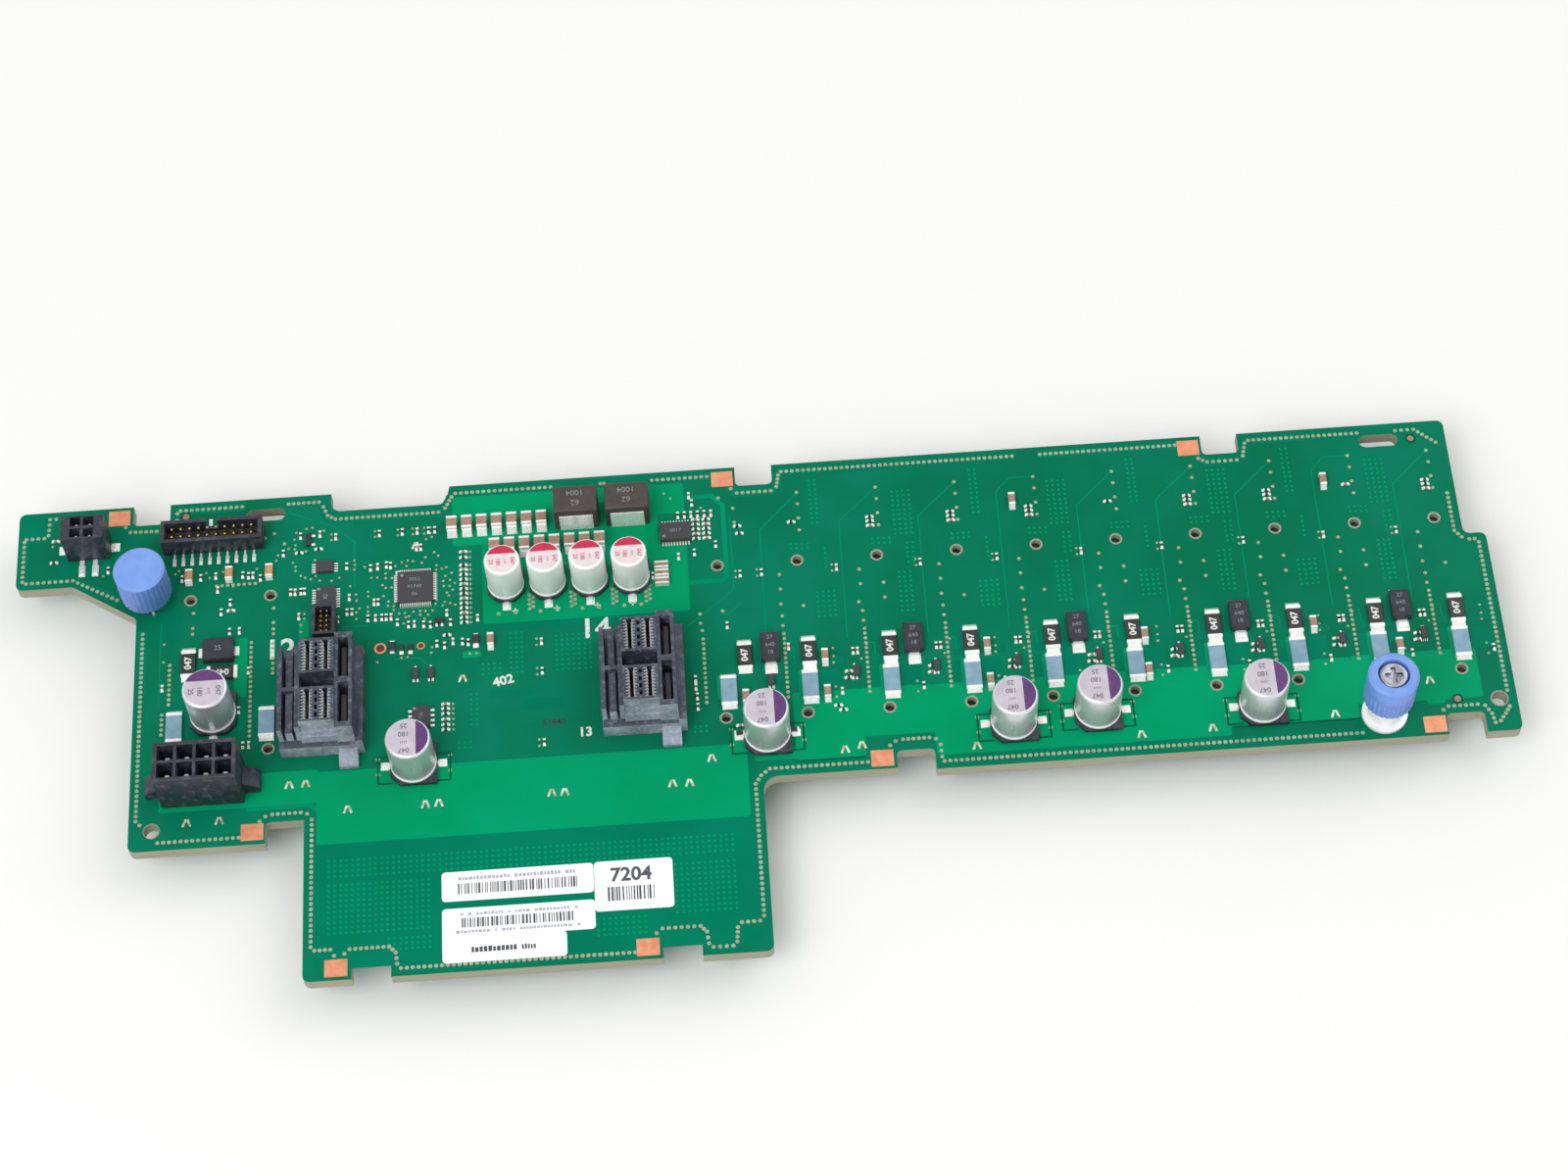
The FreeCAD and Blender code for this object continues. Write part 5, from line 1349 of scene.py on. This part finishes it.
    def dark_chips(self) -> None:
        """Builds the slightly larger dark parts: two diodes, two short posts and a three-legged chip."""
        bodies = table("""
            -80.6 19.3 1.5 2.2 0.8  -61.9 19.9 1.5 2.0 0.8  -99.5 48.8 1.2 3.2 0.9  -78.5 18.9 1.0 1.5 0.7
            -76.5 18.9 1.0 1.5 0.7  -70.0 25.2 2.0 1.2 0.9  -4.5 -8.4 1.5 1.0 0.6  7.4 -8.4 1.5 1.0 0.6
        """, 5)
        ends = table("""
            -80.6 18.0 1.1 0.7 0.3  -80.6 20.6 1.1 0.7 0.3  -61.9 18.3 1.3 1.2 0.3  -61.9 21.1 1.1 0.6 0.3
            -78.5 17.7 1.0 0.9 0.3  -76.5 17.7 1.0 0.9 0.3  -98.4 49.9 0.9 0.6 0.3  -98.4 47.6 0.9 0.6 0.3
            -70.6 24.3 0.6 0.9 0.3  -69.4 24.3 0.6 0.9 0.3  -5.4 -8.4 0.5 1.2 0.5  -3.6 -8.4 0.5 1.2 0.5
            6.5 -8.4 0.5 1.2 0.5  8.3 -8.4 0.5 1.2 0.5
        """, 5)
        for group, edge, name, finish in (
            (bodies, 0.1, "small_dark_packages", BLACK_GLAZE), (ends, 0.08, "small_package_leads", TIN),
        ):
            settle(weld([block(tuple(size), (x, y, TOP), edge) for x, y, *size in group], name), finish)
        # A small bright tin post in front of the plunger is a painted reflection: it stands for the plunger
        # metal's highlight mirrored in the glossy mask.
        reflection = block((0.6, 0.6, 1.8), (-134.1, 32.0, TOP), 0.12, 2)
        settle(weld([reflection], "painted_plunger_reflection"), TIN)

    def build(self) -> None:
        """Builds the bodies in two colours, the soldered ends and the vias."""
        across, along, dots = self.bay_parts()
        across = self.left_across() + across
        along = self.left_along() + along
        places = on_top(across, 90.0) + on_top(along)
        vias = turned(self.dot_radius, ORIGIN, 0.045, 8, 0.015)
        settle(stamp(vias, on_top(self.left_dots() + dots), "loose_vias"), VIA_RIM)
        dark = [spot for index, spot in enumerate(places) if index % 3]
        tan = places[::3]
        waist = self.length - 0.5
        for group, finish, name in (
            (dark, BLACK_GLAZE, "tiny_resistors"), (tan, BROWN_CERAMIC, "tiny_capacitors"),
        ):
            master = block((waist, self.width - 0.04, self.height), ORIGIN, 0.04)
            settle(stamp(master, group, name), finish)
        ends = []
        for way in (-1, 1):
            end = block((0.34, self.width, self.height + 0.03), (way * (waist + 0.3) / 2, 0, 0), 0.05)
            fillet = block((0.5, self.width + 0.1, 0.16), (way * (waist + 0.8) / 2, 0, 0), 0.06)
            ends += [end, fillet]
        settle(stamp(weld(ends, "soldered_end"), places, "tiny_soldered_ends"), TIN)
        self.dark_chips()


@dataclass
class Capacitor:
    """A can's printed top: the colour mark, plain numerals and the solder at its leads."""

    x: float
    y: float
    radius: float
    height: float
    mark: Mark
    rows: tuple[str, ...] = ("047", "1111", "180", "25")
    lip: float = 0.5

    def top_mark(self) -> Piece:
        """Cuts the coloured segment from a thin disc.

        Returns:
            The segment.
        """
        piece = turned(self.radius - self.lip, ORIGIN, 0.03, 40, 0.01)
        shape(
            piece,
            lambda: bpy.ops.mesh.bisect(
                plane_co=(self.radius * 0.36 * MM, 0, 0), plane_no=(1, 0, 0), use_fill=True, clear_inner=True
            ),
        )
        return place(piece, self.x, self.y, TOP + self.height, self.mark.value)

    def print_rows(self) -> list[Piece]:
        """Prints the rows of numerals beside the mark.

        Returns:
            The numerals.
        """
        words = []
        for index, text in enumerate(self.rows):
            side = (index - (len(self.rows) - 1) / 2) * self.radius * 0.4
            x, y = around(self.x, self.y, -self.radius * 0.16, side, self.mark.value)
            size = self.radius * (0.24 if len(text) < 4 else 0.12)
            spot = (x, y, TOP + self.height)
            words.append(numerals(text, size, spot, self.mark.value + 180.0, 0.015, 0.03))
        return words


@dataclass
class CapacitorBank:
    """All ten cans: softened shapes, marks, numerals, leads and solder."""

    large_radius: float = 5.0
    large_height: float = 12.6
    small_radius: float = 4.0
    small_height: float = 12.0

    def build(self) -> None:
        """Builds the cans and what is printed on them."""
        large = (self.large_radius, self.large_height)
        slim_size = (self.small_radius, self.small_height)
        cans = [Capacitor(x, y, *large, Mark.RIGHT) for x, y in TALL_CANS]
        cans.append(Capacitor(-120.05, 5.0, *large, Mark.FAR))
        small = [Capacitor(-54.8 + 9.4 * index, 33.1, *slim_size, Mark.FAR) for index in range(4)]
        shells = soften("capacitor_cans", 0.25, 3, "capacitor_can_shells")
        slim = [(can.x * MM, can.y * MM) for can in small]
        low = (TOP + 3.0) * MM

        def on_slim(face: bpy.types.MeshPolygon) -> bool:
            """Says whether a face belongs to a slim can."""
            return any(math.dist(face.center.xy, spot) < 5 * MM for spot in slim)

        def on_lid(face: bpy.types.MeshPolygon) -> bool:
            """Says whether a face belongs to a can's flat lid."""
            return face.normal.z > 0.98 and face.center.z > low

        refinish(shells, SATIN_ALUMINIUM, on_slim)
        refinish(shells, LAVENDER_LID, lambda face: on_lid(face) and not on_slim(face))
        refinish(shells, PINK_LID, lambda face: on_lid(face) and on_slim(face))
        soften("capacitor_bases", 0.12, 1, "capacitor_base_mouldings")
        soften("capacitor_leads", 0.06, 1, "capacitor_lead_strips")
        for group, name, finish in (
            (cans, "purple_can_marks", PURPLE_INK), (small, "crimson_can_marks", RED_INK),
        ):
            settle(weld([can.top_mark() for can in group], name), finish)
        for group, name, finish in (
            (cans, "large_can_numerals", DARK_PRINT), (small, "small_can_numerals", RED_PRINT),
        ):
            settle(weld([word for can in group for word in can.print_rows()], name), finish)
        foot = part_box("capacitor_bases")[1].z / MM
        rims = [
            flat_ring(can.radius - 0.2, can.radius + 0.1, (can.x, can.y, foot), 0.4, 40)
            for can in cans + small
        ]
        settle(weld(rims, "can_rolled_rims"), SATIN_ALUMINIUM)
        self.solder(cans + small)

    def solder(self, cans: Sequence[Capacitor]) -> None:
        """Lays a bright land of solder under each lead.

        Args:
            cans: The cans.
        """
        lands = []
        dots = []
        for can in cans:
            size = (2.0, 1.9, 0.22) if can.mark is Mark.RIGHT else (1.9, 2.0, 0.22)
            for way in (-1, 1):
                spot = around(can.x, can.y, way * (can.radius + 1.25), 0.0, can.mark.value)
                lands.append(block(size, (*spot, TOP), 0.09, 2))
                out = way * (can.radius + 2.9)
                dots += [around(can.x, can.y, out, across * 1.9, can.mark.value) for across in (-1, 1)]
        settle(weld(lands, "capacitor_solder_lands"), TIN)
        settle(stamp(turned(0.45, ORIGIN, 0.05, 10, 0.015), on_top(dots), "capacitor_pad_vias"), VIA_RIM)


@dataclass
class CablePort:
    """The contacts and latch pieces inside the cable connectors."""

    lefts: tuple[float, float] = (-95.7, -24.9)
    middle_y: float = 5.7
    port_near: float = -9.8
    port_block: float = 8.6
    port_pitch: float = 12.2
    port_middle: float = -0.3
    well_pitch: float = 4.0
    well_width: float = 2.6
    well_depth: float = 7.4
    height: float = 11.0
    contacts: int = 9
    contact_pitch: float = 0.78
    rib_reach: float = 0.72
    rib_thick: float = 0.34
    pit: Spot = (0.7, 1.1, 4.0)
    pit_depth: float = 3.0
    pit_pitch: float = 1.8
    pits_in_wall: int = 4
    latch: Spot = (1.3, 7.6, 4.4)
    latch_x: float = 5.6
    latch_floor: float = 4.4
    highlight_from: float = 9.0

    def wall_places(self, count: int, off_wall: float) -> list[Place]:
        """Gives evenly spaced places along both long walls of every well.

        Args:
            count: How many there are along a wall.
            off_wall: How far they stand off the wall, in millimetres.

        Returns:
            The places, turned so that each faces the slot.
        """
        floor = TOP + self.height - self.well_depth
        places = []
        for x in self.lefts:
            for port in range(2):
                y = self.middle_y + self.port_near + port * self.port_pitch + self.port_block / 2
                for well in (-1, 1):
                    middle = x + self.port_middle + well * self.well_pitch / 2
                    for wall, turn in ((-1, 0.0), (1, 180.0)):
                        across = middle + wall * (self.well_width / 2 - off_wall)
                        for index in range(count):
                            along = y + (index - (count - 1) / 2) * self.contact_pitch
                            places.append((across, along, floor, turn))
        return places

    def in_well(self, spot: Vector, x: float) -> bool:
        """Says whether a place lies inside one of a connector's wells.

        Args:
            spot: The place, in metres.
            x: The connector's middle.

        Returns:
            Whether it does.
        """
        off_middle = abs(spot.x / MM - x - self.port_middle)
        across = abs(off_middle - self.well_pitch / 2) < self.well_width / 2 + 0.02
        starts = (self.middle_y + self.port_near + port * self.port_pitch for port in range(2))
        return across and any(start < spot.y / MM < start + self.port_block for start in starts)

    def pits(self, x: float) -> Piece:
        """Models what is cut out of the wall between the wells.

        Args:
            x: The connector's middle.

        Returns:
            The cutter.
        """
        holes = []
        for port in range(2):
            y = self.middle_y + self.port_near + port * self.port_pitch + self.port_block / 2
            row = self.pit_pitch * (self.pits_in_wall - 1)
            first = (x + self.port_middle, y - row / 2, TOP + self.height - self.pit_depth)
            holes.append(repeat(block(self.pit, first), (0.0, self.pit_pitch), self.pits_in_wall))
        return weld(holes, "pit_cutter")

    def build(self) -> None:
        """Builds the shells, the combs beside the slots, the contacts and the latch plates."""
        for node, x in zip(("cable_connector_1", "cable_connector_2"), self.lefts):
            body = soften(node, 0.16)
            cut_away(body, self.pits(x))
            lid = (TOP + self.height - 0.4) * MM
            near = (self.middle_y - self.highlight_from) * MM
            # Faces down in the wells get painted shade.
            refinish(body, CABLE_SLOT_SHADE, lambda face: face.center.z < lid and self.in_well(face.center, x))
            # The near faces get a painted highlight.
            refinish(body, CABLE_HIGHLIGHT, lambda face: face.center.y < near)
        rib = block((self.rib_reach, self.rib_thick, self.well_depth - 0.12), ORIGIN, 0.05)
        places = self.wall_places(self.contacts + 1, self.rib_reach / 2)
        # The combs carry the same painted highlight.
        settle(stamp(rib, places, "cable_slot_combs"), CABLE_HIGHLIGHT)
        finger = block((0.2, 0.4, self.well_depth - 2.0), ORIGIN)
        push(finger, faces_up, [(0.16, 0, 0.9), (-0.2, 0, 0.5)])
        places = self.wall_places(self.contacts, self.rib_reach - 0.06)
        settle(stamp(finger, places, "cable_contacts"), CONTACT_SILVER)
        plates = [
            block(self.latch, (x + self.latch_x, self.middle_y + y, TOP + self.latch_floor), 0.25, 2)
            for x in self.lefts for y in (-6.2, 5.6)
        ]
        settle(weld(plates, "cable_latch_plates"), DIODE_EPOXY)


@dataclass
class DriveSide:
    """Contacts and soldered tails of the drive receptacles under the board."""

    layout: Layout
    flange_width: float = 6.8
    slot_width: float = 1.9
    slot_depth: float = 5.6
    pitch: float = 1.27
    tails: int = 28
    receptacles: int = 12

    def build(self) -> None:
        """Builds one receptacle's metal and repeats it at every bay."""
        middle = (self.layout.peg_far + self.layout.peg_near) / 2
        for number in range(1, self.receptacles + 1):
            soften(f"drive_connector_{number:02d}", 0.18)
        pieces = []
        for way in (-1, 1):
            x = way * (self.slot_width / 2 - 0.12)
            for y, count in ((-16.0, 12), (3.4, 10)):
                finger = block((0.24, 0.5, self.slot_depth - 1.4), (x, y, 1.2), 0.05)
                pieces.append(repeat(finger, (0.0, self.pitch), count))
            spot = (way * (self.flange_width / 2 + 0.6), -17.2, UNDER - 0.22)
            pieces.append(repeat(block((1.5, 0.4, 0.22), spot, 0.05), (0.0, self.pitch), self.tails))
        metal = weld(pieces, "drive_contact_set")
        places = [(x, middle, 0.0, 0.0) for x in self.layout.all_bays()]
        settle(stamp(metal, places, "drive_contacts_and_tails"), GOLD)


@dataclass
class Headers:
    """The pin headers: softened housings and the solder round their leads."""

    ribbon_x: float = -120.85
    ribbon_pitch: float = 2.0
    aux_x: float = -149.3

    def build(self) -> None:
        """Builds the housings, pins and solder."""
        for node, edge, steps in (
            ("power_header_housing", 0.18, 2), ("aux_header_housing", 0.16, 2),
            ("ribbon_header_shroud", 0.14, 2), ("service_header_shroud", 0.12, 2),
            ("power_header_pins", 0.14, 1), ("aux_header_pins", 0.1, 1),
        ):
            soften(node, edge, steps)
        foot = (TOP + 1.1) * MM
        refinish(soften("ribbon_header_pins", 0.08, 1), TIN, lambda face: face.center.z < foot)
        soften("service_header_pins", 0.08, 1)
        lands = []
        for index in range(10):
            x = self.ribbon_x + (index - 4.5) * self.ribbon_pitch
            lands += [block((0.85, 2.0, 0.12), (x, y, TOP), 0.05) for y in (45.2, 55.3)]
        for size, off, y in (((1.5, 3.0, 0.14), 1.5, 44.6), ((2.0, 2.2, 0.14), 5.9, 50.4)):
            lands += [block(size, (self.aux_x + way * off, y, TOP), 0.06) for way in (-1, 1)]
        settle(weld(lands, "header_solder_lands"), TIN)


@dataclass
class Chips:
    """Chip parts: softened bodies, marks, gull-wing leads and solder lands."""

    layout: Layout
    controller: Point = (-75.25, 34.2)
    controller_side: float = 8.0
    controller_height: float = 1.2
    controller_leads: int = 16
    controller_pitch: float = 0.45
    row: float = 1.9
    land: float = 0.14

    def build(self) -> None:
        """Builds the bodies and what is on and round them."""
        for node, edge in (
            ("ceramic_capacitors", 0.12), ("tan_chip_parts", 0.1), ("sense_resistors", 0.1),
            ("surface_fuses", 0.12), ("chip_terminals", 0.1), ("diode_bodies", 0.2), ("diode_tabs", 0.08),
            ("transistor_bodies", 0.12), ("controller_chip", 0.12), ("regulator_chip", 0.12),
            ("small_chips", 0.12), ("chip_leads", 0.05), ("power_inductor_1", 0.2),
            ("power_inductor_2", 0.2), ("inductor_clips", 0.08),
        ):
            soften(node, edge, 1)
        self.gull_wings()
        self.transistor_leads()
        self.marks()
        self.lands()
        self.fillets()

    def gull_wings(self) -> None:
        """Bends one lead and sets it all round the controller chip."""
        lead = block((0.35, 0.2, 0.16), (0.12, 0, self.controller_height * 0.45))
        for way in ((0.16, 0, -0.32), (0.1, 0, -0.2), (0.45, 0, 0)):
            push(lead, lambda face: face.normal.x > 0.5, [way])
        places = []
        out = self.controller_side / 2 - 0.05
        for turn in (0.0, 90.0, 180.0, 270.0):
            for index in range(self.controller_leads):
                along = (index - (self.controller_leads - 1) / 2) * self.controller_pitch
                places += on_top([around(*self.controller, out, along, turn)], turn)
        settle(stamp(lead, places, "controller_leads"), TIN)

    def transistor_leads(self) -> None:
        """Sets one lead at the far end and two at the near end of each small transistor."""
        spots = [(self.layout.bay_x(bay) + 10.9, 5.2) for bay in range(1, 9)]
        spots += [(3.2, 4.3), (147.8, 5.2), (-75.4, 12.0), (-72.0, 12.0)]
        leads = ((0.0, 1.6), (-0.42, -1.6), (0.42, -1.6))
        places = on_top([(x + side, y + out) for x, y in spots for side, out in leads])
        settle(stamp(block((0.5, 0.85, 0.3), ORIGIN, 0.06), places, "transistor_leads"), TIN)

    def fillets(self) -> None:
        """Runs a solder fillet out from both ends of every two-ended part."""
        bays = [self.layout.bay_x(bay) for bay in range(self.layout.bays)]
        small = table("""
            15.4 9.4  15.4 0.2  51.4 9.5  51.4 0.4  86.4 9.4  86.4 0.3  123.9 9.4  142.1 2.4  60.4 46.8
            131.2 46.5  -2.6 0.4  -58.6 19.2
        """)
        resistors = [(x, 10.9) for x in self.resistors_x()] + [(-125.95, 18.3)]
        fuses = [(x + 0.95, 2.3) for x in bays] + [(-128.7, 2.3), (-108.3, 2.2)]
        pieces = []
        for width, reach, height, across, spots in (
            (2.3, 1.25, 1.5, 3.3, [(-66.8 + 3.4 * step, 49.8) for step in range(7)]),
            (2.3, 1.0, 1.3, 3.3, [(-57.2 + 3.4 * step, 43.2) for step in range(8)]),
            (1.4, 0.7, 0.9, 3.2, small),
            (3.1, 0.85, 0.6, 6.9, resistors),
            (3.4, 0.75, 0.7, 7.4, fuses),
            (1.6, 0.5, 0.8, 3.3, [(-126.4, 41.0), (-117.35, 41.1), (-108.3, 41.1)]),
        ):
            places = on_top([(x, y - across / 2) for x, y in spots])
            places += on_top([(x, y + across / 2) for x, y in spots], 180.0)
            pieces.append(stamp(solder_wedge(width, reach, height), places, "fillet"))
        settle(weld(pieces, "solder_fillets"), TIN)

    def resistors_x(self) -> list[float]:
        """Gives the middles of the sense resistors in the row of bays."""
        return [self.layout.bay_x(bay) + (1.15 if bay else 4.9) for bay in range(self.layout.bays)]

    def marks(self) -> None:
        """Marks the parts with plain numerals and first-pin dots."""
        spots = on_top([(x, 10.9) for x in self.resistors_x()] + [(-125.95, 18.3)], 90.0)
        spots += on_top([(-118.4, 15.6)], 180.0)
        white = [numerals("047", 1.55, (x, y, z + 0.8), turn, 0.02, 0.07) for x, y, z, turn in spots]
        settle(weld(white, "resistor_numerals"), WHITE_INK)
        words = [
            (text, 1.05, x, 10.6 + self.row * index, 1.9, 0.0)
            for x in DIODES_X for index, text in enumerate(("18", "640", "27"))
        ]
        words += [
            (text, 0.95, -75.4, 36.0 - self.row * index, self.controller_height, 0.0)
            for index, text in enumerate(("3052", "91748", "06"))
        ]
        words += [
            (text, 1.5, x, 52.2 - 2.6 * index, 7.5, 180.0)
            for x in (-38.35, -26.75) for index, text in enumerate(("1004", "62"))
        ]
        words += [
            ("4017", 1.0, -16.2, 44.2, 1.4, 0.0), ("82", 1.0, -95.4, 33.1, 1.1, 90.0),
            ("16", 1.0, -74.2, 0.7, 1.6, 90.0), ("35", 1.3, -119.2, 20.9, 2.3, 0.0),
        ]
        grey = [numerals(text, size, (x, y, TOP + lift), turn) for text, size, x, y, lift, turn in words]
        settle(weld(grey, "chip_numerals"), GREY_PRINT)
        dots = table("-78.2 37.2 1.2  -18.8 42.8 1.4  -75.6 2.5 1.6  -97.0 35.1 1.1", 3)
        dots = [turned(0.38, (x, y, TOP + lift), 0.03, 14, 0.01) for x, y, lift in dots]
        settle(weld(dots, "first_pin_dots"), GREY_PRINT)

    def lands(self) -> None:
        """Lays the solder that stands out round the diodes' tabs."""
        tabs = (((2.8, 2.6, self.land), 7.4), ((3.6, 1.1, self.land), 16.3))
        lands = [block(size, (x, y, TOP), 0.06) for x in DIODES_X for size, y in tabs]
        settle(weld(lands, "chip_solder_lands"), TIN)


@dataclass
class Labels:
    """What is printed on the paper labels: generic bars, blocks and plain numerals."""

    paper: float = 0.12
    ink: float = 0.012

    def bars(self, rect: Rect, rng: random.Random) -> list[Piece]:
        """Prints a row of upright bars of chance widths.

        Args:
            rect: Left, near, right and far sides.
            rng: The seeded source of chance.

        Returns:
            The bars.
        """
        left, near, right, far = rect
        found = []
        x = left
        while x < right:
            width = rng.choice((0.18, 0.18, 0.32, 0.45))
            spot = (x + width / 2, (near + far) / 2, TOP + self.paper)
            found.append(block((width, far - near, self.ink), spot, 0.003))
            x += width + rng.choice((0.2, 0.2, 0.34, 0.5))
        return found

    def blocks(self, rect: Rect, rng: random.Random) -> list[Piece]:
        """Prints a line of short blocks in the place of words.

        Args:
            rect: Left, near, right and far sides.
            rng: The seeded source of chance.

        Returns:
            The blocks.
        """
        left, near, right, far = rect
        found = []
        x = left
        while x < right:
            width = rng.uniform(0.35, 0.8)
            rise = (far - near) * rng.uniform(0.75, 1.0)
            spot = (x + width / 2, near + rise / 2, TOP + self.paper)
            found.append(block((width, rise, self.ink), spot, 0.003))
            x += width + (1.1 if rng.random() < 0.16 else 0.22)
        return found

    def build(self) -> None:
        """Builds the labels' paper and print."""
        soften("paper_labels", 0.02, 1, "label_sheets", 0.8)
        rng = random.Random(5)
        ink = self.bars((-66.7, -42.8, -41.0, -40.3), rng)
        ink += self.bars((-66.0, -50.7, -42.3, -48.5), rng)
        ink += self.blocks((-64.0, -56.6, -49.6, -55.3), rng)
        ink += self.bars((-34.7, -46.8, -24.8, -43.5), rng)
        faint = self.blocks((-66.6, -39.5, -41.6, -38.6), rng)
        faint += self.blocks((-66.2, -47.9, -41.2, -47.2), rng)
        faint += self.blocks((-67.2, -52.0, -39.8, -51.3), rng)
        settle(weld(faint, "faint_label_print"), FAINT_INK)
        words = numerals("7204", 3.3, (-29.6, -40.8, TOP + self.paper), 0.0, self.ink, 0.12)
        settle(weld(ink + [words], "label_print"), LABEL_INK)


@dataclass
class Fasteners:
    """The captive screw at the right and the sprung plunger at the left.

    Attributes:
        press_travel: How far the screw is pressed down, in millimetres.
        pull_travel: How far the plunger is pulled up, in millimetres.
    """

    press_travel: float = 5.0
    pull_travel: float = 4.0

    def coil(self, node: str, edge: float, travel: float) -> None:
        """Softens a coil spring and gives the piece a mesh of its own.

        Args:
            node: The spring's CAD node.
            edge: The softened edge's width, in millimetres.
            travel: Not used.
        """
        piece = soften(node, edge, 1)
        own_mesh(piece)

    def knob(self, node: str) -> None:
        """Softens a fluted knob and paints shade on its sides."""
        refinish(soften(node, 0.1), BLUE_FLUTES, lambda face: face.normal.z < 0.3)

    def build(self) -> None:
        """Builds the softened pieces of both."""
        soften("screw_ferrule", 0.15)
        self.knob("screw_knob")
        soften("captive_screw", 0.1)
        self.coil("screw_spring", 0.12, self.press_travel)
        soften("plunger_barrel", 0.15)
        soften("plunger_pin", 0.12)
        self.knob("plunger_knob")
        self.coil("plunger_spring", 0.09, self.pull_travel)


@dataclass
class Studio:
    """The plain floor, the soft light and the camera."""

    eye_mm: Spot = (2.2, -373.1, 684.5)
    turn_deg: Spot = (30.763, 1.636, -3.494)
    lens_mm: float = 80.18
    sensor_mm: float = 36.0
    floor_m: float = 8.0
    floor_tone: str = "#f6f6f4"
    floor_roughness: float = 0.9
    floor_specular: float = 0.2
    floor_drop_m: float = 0.0002
    sky: float = 0.62

    def floor(self) -> None:
        """Lays the floor just under the part."""
        release()
        bpy.ops.mesh.primitive_plane_add(size=self.floor_m, location=(0, 0, -self.floor_drop_m))
        floor = bpy.context.object
        floor.name = "studio_floor"
        shape(floor, lambda: bpy.ops.mesh.subdivide(number_cuts=4))
        material = bpy.data.materials.new("matt_studio_floor")
        material.use_nodes = True
        tree = material.node_tree
        shader = tree.nodes["Principled BSDF"]
        shader.inputs["Base Color"].default_value = linear(self.floor_tone)
        shader.inputs["Roughness"].default_value = self.floor_roughness
        shader.inputs["Specular IOR Level"].default_value = self.floor_specular
        floor.data.materials.append(material)

    def world(self) -> None:
        """Lights the part evenly from all round, and shows white beyond the floor."""
        world = bpy.data.worlds.new("studio")
        bpy.context.scene.world = world
        world.use_nodes = True
        tree = world.node_tree
        tree.nodes.clear()
        rays = add_node(tree, "LightPath").outputs
        seen = rays["Is Camera Ray"]
        for other in ("Is Transmission Ray", "Is Glossy Ray"):
            seen = add_node(tree, "Math", {0: seen, 1: rays[other]}, operation="MAXIMUM").outputs[0]
        light, white = (
            add_node(tree, "Background", {"Color": linear("#ffffff"), "Strength": strength}).outputs[0]
            for strength in (self.sky, 1.0)
        )
        mix = add_node(tree, "MixShader", {0: seen, 1: light, 2: white}).outputs[0]
        add_node(tree, "OutputWorld", {0: mix})

    def lamps(self) -> None:
        """Hangs two large soft lamps."""
        for name, spot, power, size in (
            ("key_lamp", (-0.7, -0.9, 1.5), 17.0, 1.2),
            ("fill_lamp", (1.1, 0.5, 1.2), 6.0, 1.4),
        ):
            release()
            bpy.ops.object.light_add(type="AREA", location=spot)
            lamp = bpy.context.object
            lamp.name = name
            lamp.data.energy = power
            lamp.data.size = size
            lamp.rotation_euler = (-Vector(spot)).to_track_quat("-Z", "Y").to_euler()

    def camera(self) -> None:
        """Sets the camera at the photograph's viewing angle."""
        release()
        bpy.ops.object.camera_add()
        camera = bpy.context.object
        camera.location = [value * MM for value in self.eye_mm]
        camera.rotation_euler = [math.radians(value) for value in self.turn_deg]
        camera.data.lens = self.lens_mm
        camera.data.sensor_width = self.sensor_mm
        camera.data.clip_start = 0.01
        camera.data.clip_end = 50.0
        bpy.context.scene.camera = camera

    def build(self) -> None:
        """Builds the floor, light and camera."""
        self.floor()
        self.world()
        self.lamps()
        self.camera()
        bpy.context.scene.view_settings.view_transform = "Standard"


def dress_frame() -> None:
    """Gives every CAD node its finish, whether it is shown or stood for."""
    for name, node in frame["nodes"].items():
        finish = NODE_FINISH.get(name, DRIVE_BLACK)
        for slot in node.material_slots:
            slot.material = finish.material()
        LOG.info("%s: %s", name, finish.name)


def main() -> None:
    """Dresses the frame and builds every sub-assembly in order."""
    logging.basicConfig(level=logging.INFO, format="%(message)s")
    layout = Layout()
    dress_frame()
    BoardFace(layout).build()
    SmallParts(layout).build()
    CapacitorBank().build()
    CablePort().build()
    DriveSide(layout).build()
    Headers().build()
    Chips(layout).build()
    Labels().build()
    Fasteners().build()
    Studio().build()


if __name__ == "__main__":
    main()
